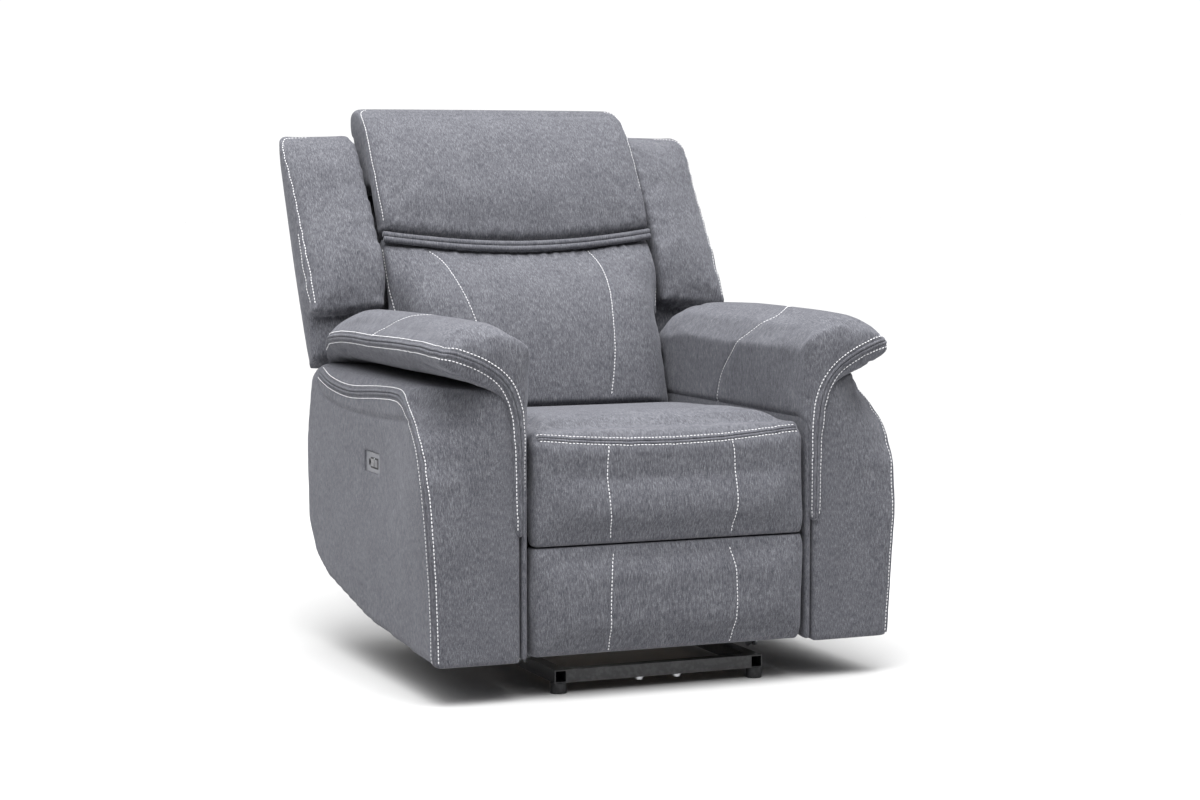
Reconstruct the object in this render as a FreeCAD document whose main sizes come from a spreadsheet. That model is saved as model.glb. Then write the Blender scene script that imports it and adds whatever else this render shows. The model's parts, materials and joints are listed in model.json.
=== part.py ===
"""Recliner armchair: every piece as its own solid, in the chair's resting pose.

X runs from the viewer's left to right, Y from the chair's front to its back and
Z up from the floor.  The origin is on the floor, under the middle of the chair's
overall box.  Lengths are in millimetres and angles in degrees.
"""
import FreeCAD, Part
import os
import re
import Sketcher

os.makedirs("parts", exist_ok=True)
doc = FreeCAD.newDocument("recliner_armchair")
sheet = doc.addObject("Spreadsheet::Sheet", "Spreadsheet")
ROWS = {}
NODES = []
X_AXIS = FreeCAD.Vector(1, 0, 0)
Y_AXIS = FreeCAD.Vector(0, 1, 0)
Z_AXIS = FreeCAD.Vector(0, 0, 1)
AXES = {"x": X_AXIS, "y": Y_AXIS, "z": Z_AXIS}
SIDES = {"left": "-1", "right": "1"}


# ------------------------------------------------------------------ the sheet
def size(alias, value, note):
    """Put one size on the sheet: a plain number, or a formula that starts with =."""
    row = len(ROWS) + 1
    ROWS[alias] = row
    sheet.set("A%d" % row, note)
    sheet.set("B%d" % row, str(value))
    sheet.setAlias("B%d" % row, alias)


def bound(formula):
    """Write a formula over sheet names as an expression that other objects can use."""
    def full(match):
        word = match.group(0)
        return "Spreadsheet." + word if word in ROWS else word
    return re.sub(r"[a-z][a-z_0-9]*", full, str(formula))


def value(formula):
    """Work a formula out to a number."""
    return float(sheet.evalExpression("(" + bound(formula) + ") * 1.0"))


size("overall_width", 920.0, "over both arm pads")
size("overall_depth", 1040.0, "front of the arm pads to the rear of the back")
size("overall_height", 1083.0, "floor to the top of the back")
size("floor_gap", 66.0, "underside of the arms above the floor")
size("arm_width", 174.0, "an arm's inner face to its outer face")
size("arm_top", 560.0, "top of the arm under its pad")
size("pad_height", 130.0, "arm pad at its thickest")
size("pad_overhang", 10.0, "arm pad beyond the arm's outer face")
size("pad_nose", 20.0, "arm pad and its tail in front of the arm")
size("tail_width", 42.0, "tail of the arm pad down the arm's front")
size("tail_tip", 283.0, "lower end of the tail")
size("skin", 22.0, "padded outer panels")
size("lining", 14.0, "inner arm panels")
size("board", 20.0, "timber boards")
size("soft_gap", 3.0, "between soft pieces that move past each other")
size("seat_height", 486.0, "crown of the seat cushion")
size("seat_split", 280.0, "seat front and footrest meet here")
size("seat_under", 335.0, "underside of the seat cushion")
size("pivot_drop", 120.0, "recline pin below the top of the arm")
size("lean", 25.0, "lean of the back from upright")
size("back_rear", 35.0, "rear face of the back, behind the recline pin")
size("cushion_rear", 66.0, "rear of the back cushions, in front of the pin")
size("shoulder", 205.0, "lumbar cushion widens here, up the back, to clear the arm pads")
size("back_split", 372.0, "head and lumbar cushions meet here, up the back")
size("wing_drop", 70.0, "wings end this far below the head cushion")
size("wing_sweep", 128.0, "arc of the wing's lower end about the recline pin")
size("tube", 24.0, "square tube of the floor frame")
size("tube_wall", 2.0, "wall of that tube")
size("rail_bottom", 20.0, "underside of the floor frame")
size("rail_x", 198.0, "floor rail, from the middle")
size("rail_length", 600.0, "floor rail")
size("glide_radius", 15.0, "floor glide")
size("plate", 4.0, "steel plates and links")
size("layer", 4.5, "from one layer of links to the next")
size("plate_x", 222.0, "inner face of the mechanism plate")
size("link_half", 11.0, "half the width of a link")
size("pin", 4.0, "radius of a link pin")
size("play", 0.05, "pin to hole, on the radius")
size("swing_length", 120.0, "swing link, pin to pin")
size("swing_lean", 25.0, "swing link at rest, leaning back")
size("swing_z", 62.0, "lower swing pin above the floor")
size("arm_link", 160.0, "footrest links, pin to pin")
size("fold", 84.0, "footrest links at rest, from level")
size("drive_z", 235.0, "footrest drive shaft above the floor")
size("shaft_radius", 11.0, "footrest drive shaft")
size("recline_pin", 8.0, "radius of the recline pin")
size("crank", 65.0, "shaft to roller")
size("crank_rest", 38.0, "crank at rest, behind straight down")
size("roller", 4.0, "radius of the crank's roller")

size("half_width", "=overall_width / 2", "worked out")
size("front_y", "=-overall_depth / 2", "worked out")
size("rear_y", "=overall_depth / 2", "worked out")
size("arm_front", "=front_y + pad_nose", "worked out")
size("arm_outer", "=half_width - pad_overhang", "worked out")
size("arm_inner", "=arm_outer - arm_width", "worked out")
size("seat_half", "=arm_inner - soft_gap", "worked out")
size("back_half", "=seat_half + 27", "half the width of the back cushions above the arms")
size("pivot_z", "=arm_top - pivot_drop", "recline pin above the floor")
size("back_top", "=(overall_height - pivot_z - 10 * sin(lean)) / cos(lean)", "top of the back, up its slope")
size("wing_top", "=back_top - wing_drop", "top of the wings, up the slope")
size("control_y", "=arm_front + 362", "middle of the control plate")
size("control_z", "=arm_top - 157", "middle of the control plate")
size("pivot_y", "=rear_y - wing_top * sin(lean) - back_rear * cos(lean)", "recline pin")
size("drive_y", "=front_y + 158", "footrest drive shaft")
size("rail_front", "=front_y + 68", "front end of the floor rails")
size("swing_front_y", "=drive_y + 71", "lower pin of the front swing links")
size("swing_rear_y", "=swing_front_y + 390", "lower pin of the rear swing links")
size("swing_back", "=swing_length * sin(swing_lean)", "upper swing pin behind the lower one")
size("swing_up", "=swing_length * cos(swing_lean)", "upper swing pin above the lower one")
size("hip_z", "=swing_z + swing_up", "upper swing pins above the floor")
size("knee_y", "=drive_y - arm_link * cos(fold)", "pin between the footrest links")
size("knee_z", "=drive_z - arm_link * sin(fold)", "pin between the footrest links")
size("toe_y", "=knee_y - arm_link * cos(fold)", "pin that carries the footrest board")
size("toe_z", "=knee_z + arm_link * sin(fold)", "pin that carries the footrest board")
size("guide_y", "=drive_y + 55.4", "fixed pin of the lower guide link")
size("guide_z", "=drive_z + 54.5", "fixed pin of the lower guide link")
size("elbow_y", "=knee_y + 29.5", "lower guide link's pin on the upper link")
size("elbow_z", "=knee_z + 12.3", "lower guide link's pin on the upper link")
size("heel_y", "=knee_y + 27.8", "upper guide link's pin on the lower link")
size("heel_z", "=knee_z - 22", "upper guide link's pin on the lower link")
size("tip_y", "=toe_y + 26.8", "upper guide link's pin under the board")
size("tip_z", "=toe_z - 20", "upper guide link's pin under the board")
size("roller_y", "=drive_y + crank * sin(crank_rest)", "crank's roller")
size("roller_z", "=drive_z - crank * cos(crank_rest)", "crank's roller")
size("screw_z", "=drive_z - 105", "drive screw above the floor")
doc.recompute()


# --------------------------------------------------------------- plain makers
def bind(obj, prop, formula, unit="mm"):
    """Tie one property of an object to a formula over the sheet."""
    obj.setExpression(prop, "(%s) * 1 %s" % (bound(formula), unit))


def place(obj, x="0", y="0", z="0", turn=None, axis="x"):
    """Tie an object's place, and its turn about one axis, to the sheet."""
    if turn is not None:
        obj.Placement = FreeCAD.Placement(FreeCAD.Vector(), FreeCAD.Rotation(AXES[axis], 10))
        obj.setExpression("Placement.Rotation.Angle", "(%s) * 1 deg" % bound(turn))
    for name, formula in (("x", x), ("y", y), ("z", z)):
        bind(obj, "Placement.Base." + name, formula)


def box(name, x, y, z, dx, dy, dz):
    """Make a box from its low corner and its three sizes."""
    made = doc.addObject("Part::Box", name)
    for prop, formula in (("Length", dx), ("Width", dy), ("Height", dz)):
        bind(made, prop, formula)
    place(made, x, y, z)
    return made


def rod(name, axis, x, y, z, radius, length):
    """Make a round bar that runs from a point along x, y or z."""
    made = doc.addObject("Part::Cylinder", name)
    bind(made, "Radius", radius)
    bind(made, "Height", length)
    if axis == "x":
        place(made, x, y, z, "90", "y")
    elif axis == "y":
        place(made, x, y, z, "-90", "x")
    else:
        place(made, x, y, z)
    return made


def fuse(name, pieces):
    """Join pieces that are welded or moulded as one."""
    made = doc.addObject("Part::MultiFuse", name)
    made.Shapes = pieces
    made.Refine = True
    return made


def cut(name, base, tools):
    """Take tools away from a base, one after another."""
    for number, tool in enumerate(tools):
        last = number == len(tools) - 1
        made = doc.addObject("Part::Cut", name if last else "%s_cut%d" % (name, number))
        made.Base = base
        made.Tool = tool
        base = made
    return base


def node(obj, name):
    """Record an object as one finished piece of the chair."""
    obj.Label = name
    NODES.append(obj)
    return obj


def outline(body, plane, points, name):
    """Draw a closed outline whose every corner is tied to the sheet."""
    sketch = body.newObject("Sketcher::SketchObject", name)
    face = next(f for f in body.Origin.OriginFeatures if f.Role == plane)
    sketch.AttachmentSupport = [(face, "")]
    sketch.MapMode = "FlatFace"
    spots = [(value(a), value(b)) for a, b in points]
    for number, (a, b) in enumerate(spots):
        c, d = spots[(number + 1) % len(spots)]
        sketch.addGeometry(Part.LineSegment(FreeCAD.Vector(a, b, 0), FreeCAD.Vector(c, d, 0)))
    for number in range(len(spots)):
        following = (number + 1) % len(spots)
        sketch.addConstraint(Sketcher.Constraint("Coincident", number, 2, following, 1))
    for number, corner in enumerate(points):
        for kind, spot, formula in zip(("DistanceX", "DistanceY"), spots[number], corner):
            added = sketch.addConstraint(Sketcher.Constraint(kind, -1, 1, number, 1, spot))
            bind(sketch, "Constraints[%d]" % added, formula)
    return sketch


PLANE_OF = {"x": "YZ_Plane", "y": "XZ_Plane", "z": "XY_Plane"}


def slab(name, axis, points, start, depth):
    """Make a body: an outline square to an axis, pushed along it from start by depth."""
    body = doc.addObject("PartDesign::Body", name)
    sketch = outline(body, PLANE_OF[axis], points, name + "_outline")
    sign = "-1" if axis == "y" else "1"
    shift = start if axis != "y" else "-(%s) - (%s)" % (start, depth)
    bind(sketch, "AttachmentOffset.Base.z", shift)
    pad = body.newObject("PartDesign::Pad", name + "_pad")
    pad.Profile = sketch
    bind(pad, "Length", depth)
    sketch.Visibility = False
    return body


def round_edges(body, radius, along, count=None, keep=None):
    """Round a body's straight edges that run along one axis, where keep says so."""
    doc.recompute()
    picked = []
    for number, edge in enumerate(body.Tip.Shape.Edges, start=1):
        if edge.Curve.TypeId != "Part::GeomLine":
            continue
        if abs(edge.tangentAt(edge.FirstParameter).dot(AXES[along])) < 0.999:
            continue
        if keep is None or keep(edge.CenterOfMass):
            picked.append("Edge%d" % number)
    last = body.Tip
    made = body.newObject("PartDesign::Fillet", body.Name + "_round")
    made.Base = (last, picked)
    bind(made, "Radius", radius)
    return body


def mirrored(side, low, width):
    """Low end, along x, of a span that is drawn for the right hand side."""
    return low if side == "right" else "-(%s) - (%s)" % (low, width)


# ---------------------------------------------------------------- floor frame
def floor_tube(name, x, y, length, along):
    """A square steel tube of the floor frame, open at both ends."""
    size_x, size_y = ("tube", length) if along == "y" else (length, "tube")
    shell = box(name + "_outer", x, y, "rail_bottom", size_x, size_y, "tube")
    inner_x = ("%s + tube_wall" % x, "tube - 2 * tube_wall") if along == "y" else (x, length)
    inner_y = ("%s + tube_wall" % y, "tube - 2 * tube_wall") if along == "x" else (y, length)
    hollow = box(name + "_bore", inner_x[0], inner_y[0], "rail_bottom + tube_wall",
                 inner_x[1], inner_y[1], "tube - 2 * tube_wall")
    return shell, hollow


def swing_lug(name, side, y):
    """Upright ear on a floor rail, with the fixed pin of a swing link."""
    low = "rail_x + tube / 2 - 6"
    half = "14"
    ear = box(name + "_ear", mirrored(side, low, "6"), "%s - %s" % (y, half), "rail_bottom + tube",
              "6", "28", "swing_z + 12 - rail_bottom - tube")
    stud = rod(name + "_stud", "x", mirrored(side, low, "6 + layer + plate"), y, "swing_z",
               "pin", "6 + layer + plate")
    return [ear, stud]


def floor_frame():
    """Two rails, two cross tubes, four glides and the two bolts under the front."""
    for side in SIDES:
        low = mirrored(side, "rail_x - tube / 2", "tube")
        name = "base_rail_" + side
        shell, hollow = floor_tube(name, low, "rail_front", "rail_length", "y")
        hollowed = cut(name + "_tube", shell, [hollow])
        pieces = [hollowed]
        pieces += swing_lug(name + "_front", side, "swing_front_y")
        pieces += swing_lug(name + "_rear", side, "swing_rear_y")
        node(fuse(name, pieces), name)
        for end, y in (("front", "rail_front + 12"), ("rear", "rail_front + rail_length - 24")):
            glide = "glide_%s_%s" % (end, side)
            spot = "(rail_x) * %s" % SIDES[side]
            node(rod(glide, "z", spot, y, "0", "glide_radius", "rail_bottom"), glide)
    for end, y in (("front", "rail_front"), ("rear", "rail_front + rail_length - tube")):
        name = "base_tube_" + end
        shell, hollow = floor_tube(name, "-(rail_x - tube / 2)", y, "2 * rail_x - tube", "x")
        node(cut(name, shell, [hollow]), name)
    for side in SIDES:
        name = "base_bolt_" + side
        spot = "38 * %s" % SIDES[side]
        head = rod(name + "_head", "z", spot, "rail_front + tube / 2", "rail_bottom - 6", "8", "6")
        washer = rod(name + "_washer", "z", spot, "rail_front + tube / 2", "rail_bottom - 2", "10", "2")
        node(fuse(name, [head, washer]), name)


# ------------------------------------------------------------------- linkages
def bar(name, x, thick, spots, holes=(), pins=()):
    """A flat link square to x: a bar between spots, with holes and fixed pins.

    holes are (spot, radius) and pins are (spot, x, length).
    """
    pieces = []
    for number, (y, z) in enumerate(spots):
        eye = rod("%s_eye%d" % (name, number), "x", x, y, z, "link_half", thick)
        pieces.append(eye)
    for number in range(len(spots) - 1):
        (y0, z0), (y1, z1) = spots[number], spots[number + 1]
        run = "sqrt((({1}) - ({0}))^2 + (({3}) - ({2}))^2)".format(y0, y1, z0, z1)
        angle = "atan2(({3}) - ({2}); ({1}) - ({0}))".format(y0, y1, z0, z1)
        web = doc.addObject("Part::Box", "%s_web%d" % (name, number))
        bind(web, "Length", thick)
        bind(web, "Width", run)
        bind(web, "Height", "2 * link_half")
        place(web, x, "%s + link_half * sin(%s)" % (y0, angle), "%s - link_half * cos(%s)" % (z0, angle),
              angle)
        pieces.append(web)
    solid = fuse(name + "_blank", pieces)
    tools = []
    for number, ((y, z), radius) in enumerate(holes):
        tools.append(rod("%s_hole%d" % (name, number), "x", "%s - 1" % x, y, z, radius,
                         "%s + 2" % thick))
    if tools:
        solid = cut(name + "_drilled", solid, tools)
    if pins:
        studs = [rod("%s_pin%d" % (name, number), "x", low, y, z, "pin", length)
                 for number, ((y, z), low, length) in enumerate(pins)]
        solid = fuse(name + "_pinned", [solid] + studs)
    return solid


def layer_low(side, number):
    """Low x of a layer of links; layer 0 is the mechanism plate."""
    return mirrored(side, "plate_x + %s * layer" % number, "plate")


def stud_span(side, first, last):
    """Low x and length of a pin that runs from one layer through another."""
    length = "%s * layer + plate" % (last - first)
    return mirrored(side, "plate_x + %s * layer" % first, length), length


def swing_links():
    """Four links that carry the chair on its floor frame."""
    thick = "plate"
    for end, y in (("front", "swing_front_y"), ("rear", "swing_rear_y")):
        for side in SIDES:
            name = "swing_%s_%s" % (end, side)
            low = mirrored(side, "rail_x + tube / 2 + layer", thick)
            top = ("%s + swing_back" % y, "hip_z")
            reach = "plate_x + plate - rail_x - tube / 2 - layer"
            stud = mirrored(side, "rail_x + tube / 2 + layer", reach)
            spots = [(y, "swing_z"), top]
            node(bar(name, low, thick, spots, [(spots[0], "pin + play")], [(top, stud, reach)]), name)


def mechanism_plates():
    """Steel side plates that carry the seat, the recline pins and the shaft."""
    hips = [("%s + swing_back" % y, "hip_z") for y in ("swing_front_y", "swing_rear_y")]
    for side in SIDES:
        name = "mechanism_plate_" + side
        points = [("drive_y - 24", "drive_z - 20"), ("drive_y - 24", "drive_z + 30"),
                  ("guide_y - 18", "guide_z + 13"), ("pivot_y - 60", "guide_z + 13"),
                  ("pivot_y - 24", "pivot_z - 20"), ("pivot_y - 18", "pivot_z + 18"),
                  ("pivot_y + 18", "pivot_z + 18"), ("pivot_y + 24", "pivot_z - 20"),
                  ("pivot_y + 20", "guide_z - 40"),
                  ("swing_rear_y + swing_back + 22", "hip_z - 15"),
                  ("swing_front_y + swing_back - 22", "hip_z - 15")]
        blank = slab(name + "_blank", "x", points, layer_low(side, 0), "plate")
        tools = []
        for number, (y, z) in enumerate(hips):
            tools.append(rod("%s_hip%d" % (name, number), "x", mirrored(side, "plate_x - 1", "plate + 2"),
                             y, z, "pin + play", "plate + 2"))
        tools.append(rod(name + "_journal", "x", mirrored(side, "plate_x - 1", "plate + 2"),
                         "drive_y", "drive_z", "shaft_radius + play", "plate + 2"))
        drilled = cut(name + "_drilled", blank, tools)
        low, length = stud_span(side, 0, 3)
        guide = rod(name + "_guide", "x", low, "guide_y", "guide_z", "pin", length)
        hip = rod(name + "_recline", "x", mirrored(side, "plate_x", "40"), "pivot_y", "pivot_z",
                  "recline_pin", "40")
        node(fuse(name, [drilled, guide, hip]), name)


def footrest_links():
    """Scissor links each side: two carry the board, two hold its angle."""
    drive, knee, toe = ("drive_y", "drive_z"), ("knee_y", "knee_z"), ("toe_y", "toe_z")
    guide, elbow = ("guide_y", "guide_z"), ("elbow_y", "elbow_z")
    heel, tip = ("heel_y", "heel_z"), ("tip_y", "tip_z")
    hole = "pin + play"
    for side in SIDES:
        knee_pin = stud_span(side, 1, 2)
        heel_pin = stud_span(side, 1, 4)
        lower = bar("lower_link_" + side, layer_low(side, 1), "plate", [drive, knee, heel],
                    [], [(knee,) + knee_pin, (heel,) + heel_pin])
        node(lower, "lower_link_" + side)
        elbow_pin = stud_span(side, 2, 3)
        upper = bar("upper_link_" + side, layer_low(side, 2), "plate", [elbow, knee, toe],
                    [(knee, hole), (toe, hole)], [(elbow,) + elbow_pin])
        node(upper, "upper_link_" + side)
        low_guide = bar("lower_guide_" + side, layer_low(side, 3), "plate", [guide, elbow],
                        [(guide, hole), (elbow, "pin + 1.5")])
        node(low_guide, "lower_guide_" + side)
        high_guide = bar("upper_guide_" + side, layer_low(side, 4), "plate", [heel, tip],
                         [(heel, hole), (tip, "pin + 0.4")])
        node(high_guide, "upper_guide_" + side)
        name = "footrest_bracket_" + side
        ears = bar(name + "_ears", layer_low(side, 5), "plate", [toe, tip], [],
                   [(toe,) + stud_span(side, 2, 5), (tip,) + stud_span(side, 4, 5)])
        foot = box(name + "_foot", layer_low(side, 5), "front_y + 95", "toe_z - 40", "plate",
                   "toe_y - front_y - 95", "50")
        node(fuse(name, [ears, foot]), name)


def drive_train():
    """Shaft with its crank, motor, screw, sliding yoke and the power box."""
    shaft = rod("drive_shaft_bar", "x", "-(plate_x + layer)", "drive_y", "drive_z", "shaft_radius",
                "2 * (plate_x + layer)")
    arm = bar("drive_crank", "10", "6", [("drive_y", "drive_z"), ("roller_y", "roller_z")])
    stud = rod("drive_roller", "x", "10", "roller_y", "roller_z", "roller", "20")
    node(fuse("drive_shaft", [shaft, arm, stud]), "drive_shaft")

    screw_front = "front_y + 104"
    node(rod("drive_screw", "y", "0", screw_front, "screw_z", "8", "pivot_y - 78 - (%s)" % screw_front),
         "drive_screw")
    block = box("yoke_block", "-18", "roller_y - 25", "screw_z - 18", "48", "50", "36")
    bore = rod("yoke_bore", "y", "0", "roller_y - 26", "screw_z", "8 + play", "52")
    fork = box("yoke_fork", "24", "roller_y - 16", "screw_z + 18", "6", "32", "68")
    slot = box("yoke_slot", "23", "roller_y - roller - 2", "roller_z - 18", "8", "2 * roller + 4", "34")
    node(fuse("drive_yoke", [cut("yoke_carriage", block, [bore]), cut("yoke_plate", fork, [slot])]),
         "drive_yoke")

    housing = box("motor_housing", "-34", "pivot_y - 78", "screw_z - 30", "68", "110", "60")
    can = rod("motor_can", "z", "0", "pivot_y - 30", "screw_z + 30", "26", "50")
    node(fuse("drive_motor", [housing, can]), "drive_motor")
    case = box("power_case", "-150", "pivot_y - 120", "hip_z - 40", "80", "150", "44")
    socket = rod("power_inlet", "y", "-110", "pivot_y + 20", "hip_z - 18", "9", "11")
    node(cut("power_box", case, [socket]), "power_box")


# ----------------------------------------------------------------------- seat
def seat():
    """Cross tube, rails, deck and the seat cushion with its deep front."""
    half = "seat_half - 11"
    size("rail_low", "=seat_split - 18", "lower edge of the rail that closes the gap over the footrest")
    node(box("chassis_tube", "-plate_x", "pivot_y - 112", "hip_z + 14", "2 * plate_x", "26", "20"),
         "chassis_tube")
    rail = box("rail_board", "-(%s)" % half, "front_y + 70", "rail_low", "2 * (%s)" % half, "board",
               "seat_under - board - rail_low")
    slots = [box("rail_slot_" + side, layer_low(side, 3) + " - 2", "front_y + 69", "rail_low - 1",
                 "plate + 4", "board + 2", "guide_z + 14.5 - rail_low") for side in SIDES]
    node(cut("seat_rail_front", rail, slots), "seat_rail_front")
    node(box("seat_deck", "-(%s)" % half, "front_y + 66", "seat_under - board", "2 * (%s)" % half,
             "pivot_y - 180 - front_y - 66", "board"), "seat_deck")
    face = "front_y + 2"
    points = [("front_y + 14", "seat_split + 3"), (face, "seat_split + 50"), (face, "seat_height - 31"),
              ("front_y + 30", "seat_height - 6"), ("front_y + 180", "seat_height"),
              ("pivot_y - 190", "seat_height - 26"), ("pivot_y - 180", "seat_height - 42"),
              ("pivot_y - 180", "seat_under"), ("front_y + 65", "seat_under"),
              ("front_y + 50", "seat_split + 26"), ("front_y + 28", "seat_split + 9")]
    body = slab("seat_cushion", "x", points, "-seat_half", "2 * seat_half")
    node(round_edges(body, "14", "z", keep=lambda c: c.y < value("front_y + 20")), "seat_cushion")


# ----------------------------------------------------------------------- arms
def arm(side):
    """One arm: a timber box frame, three padded panels and the pad on top."""
    high = "arm_top"
    rear_low = ("pivot_y + 83", "floor_gap + 173")
    rear_mid = ("pivot_y + 99", "pivot_z - 38")
    rear_top = ("pivot_y + 58", "pivot_z + 105")
    under = [("arm_front + 8", "floor_gap"), ("arm_front + 400", "floor_gap + 27"),
             ("pivot_y - 56", "floor_gap + 74"), ("pivot_y + 28", "floor_gap + 107")]
    edge = [("arm_front + 150", "arm_top - 17"), ("arm_front + 89", "arm_top - 70"),
            ("arm_front + 36", "arm_top - 190"), ("arm_front + 6", "floor_gap + 130")]
    outer_low = mirrored(side, "arm_outer - skin", "skin")

    name = "arm_outer_panel_" + side
    points = under + [rear_low, rear_mid, rear_top, ("pivot_y + 20", high),
                      ("arm_front + 165", high)] + edge
    middle = "arm_width - skin - lining"
    middle_low = mirrored(side, "arm_inner + lining", middle)
    rear_points = under[2:] + [rear_low, rear_mid, rear_top, ("pivot_y + 20", high),
                               ("pivot_y + 17", "arm_top - 6"), ("pivot_y + 44", "pivot_z + 98"),
                               ("pivot_y + 83", "pivot_z - 38"), ("pivot_y + 68", "floor_gap + 184"),
                               ("pivot_y + 18", "floor_gap + 122"), ("pivot_y - 56", "floor_gap + 88")]
    side_blank = slab(name + "_side", "x", points, outer_low, "skin")
    rear_blank = slab(name + "_rear", "x", rear_points, middle_low, middle)
    panel = fuse(name + "_blank" if side == "left" else name, [side_blank, rear_blank])
    if side == "left":
        window = box("control_window", "-arm_outer - 1", "control_y - 34", "control_z - 12",
                     "skin + 2", "68", "24")
        panel = cut(name, panel, [window])
    node(panel, name)

    name = "arm_inner_panel_" + side
    points = [("arm_front", "floor_gap + 4"), ("pivot_y - 56", "floor_gap + 78"),
              ("pivot_y + 70", "floor_gap + 180"), ("pivot_y + 90", "pivot_z - 40"),
              ("pivot_y + 50", "pivot_z + 104"), ("pivot_y + 20", high), ("arm_front", high)]
    node(slab(name, "x", points, mirrored(side, "arm_inner", "lining"), "lining"), name)

    name = "arm_front_panel_" + side
    face = box(name + "_face", middle_low, "arm_front", "floor_gap", middle, "25", "arm_top - floor_gap")
    wrap_points = [("arm_front", "floor_gap"), under[0], edge[3], edge[2], edge[1], edge[0],
                   ("arm_front + 165", high), ("arm_front + 70", high),
                   ("arm_front + 12", "arm_top - 70"), ("arm_front", "arm_top - 190")]
    wrap = slab(name + "_wrap", "x", wrap_points, outer_low, "skin")
    node(fuse(name, [face, wrap]), name)

    name = "arm_frame_" + side
    low = middle_low
    front, rear, foot = "arm_front + 25", "pivot_y + 16", "floor_gap + 130"
    shell = slab(name + "_shell", "x",
                 [(front, foot), (front, "arm_top - 230"), ("arm_front + 128", "arm_top"),
                  (rear, "arm_top"), (rear, foot)], low, middle)
    void = slab(name + "_void", "x",
                [(front + " + board", foot + " + board"), (front + " + board", "arm_top - 236"),
                 ("arm_front + 140", "arm_top - board"), (rear + " - board", "arm_top - board"),
                 (rear + " - board", foot + " + board")], low + " - 1", middle + " + 2")
    node(cut(name, shell, [void]), name)

    name = "arm_pad_" + side
    points = [("front_y + 16", high), ("front_y", "arm_top + 22"), ("front_y + 2", "arm_top + 80"),
              ("front_y + 34", "arm_top + pad_height - 12"), ("front_y + 90", "arm_top + pad_height"),
              ("pivot_y - 120", "arm_top + 116"), ("pivot_y - 15", "arm_top + 96"),
              ("pivot_y + 34", "arm_top + 44"), ("pivot_y + 34", high)]
    width = "arm_width + pad_overhang"
    pillow = slab(name + "_pillow", "x", points, mirrored(side, "arm_inner", width), width)
    round_edges(pillow, "26", "y", keep=lambda c: c.z > value("arm_top + 100"))
    strip = mirrored(side, "arm_inner", "tail_width")
    tail = box(name + "_tail", strip, "front_y", "tail_tip", "tail_width", "pad_nose",
               "arm_top + 40 - tail_tip")
    node(fuse(name, [pillow, tail]), name)


def controls():
    """Control plate on the left arm, with two sprung buttons and a charging socket."""
    outside = "-(arm_outer + 3)"
    plate_blank = box("control_blank", outside, "control_y - 44", "control_z - 19.5", "3", "88", "39")
    inset = box("control_body", "-(arm_outer)", "control_y - 33", "control_z - 11", "skin + 14", "66", "22")
    windows = [box("control_slot_a", "-(arm_outer + 4)", "control_y - 27.2", "control_z - 7.2", "12",
                   "18.4", "14.4"),
               box("control_slot_b", "-(arm_outer + 4)", "control_y - 6.2", "control_z - 7.2", "12",
                   "18.4", "14.4"),
               box("control_slot_c", "-(arm_outer + 4)", "control_y + 14", "control_z - 6", "12",
                   "14", "12")]
    node(cut("control_plate", fuse("control_solid", [plate_blank, inset]), windows), "control_plate")
    for letter, offset in (("a", "-27"), ("b", "-6")):
        name = "button_" + letter
        node(box(name, "-(arm_outer + 4)", "control_y + %s" % offset, "control_z - 7", "9.5", "18", "14"),
             name)
    shell = box("usb_shell", "-(arm_outer + 2)", "control_y + 14", "control_z - 6", "10", "14", "12")
    mouth = box("usb_mouth", "-(arm_outer + 3)", "control_y + 16", "control_z - 2.5", "8", "10", "5")
    node(cut("usb_socket", shell, [mouth]), "usb_socket")


# ----------------------------------------------------------------------- back
def leaning(obj):
    """Stand an object on the recline pin and lean it with the back."""
    place(obj, "0", "pivot_y", "pivot_z", "-lean")
    return obj


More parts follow.
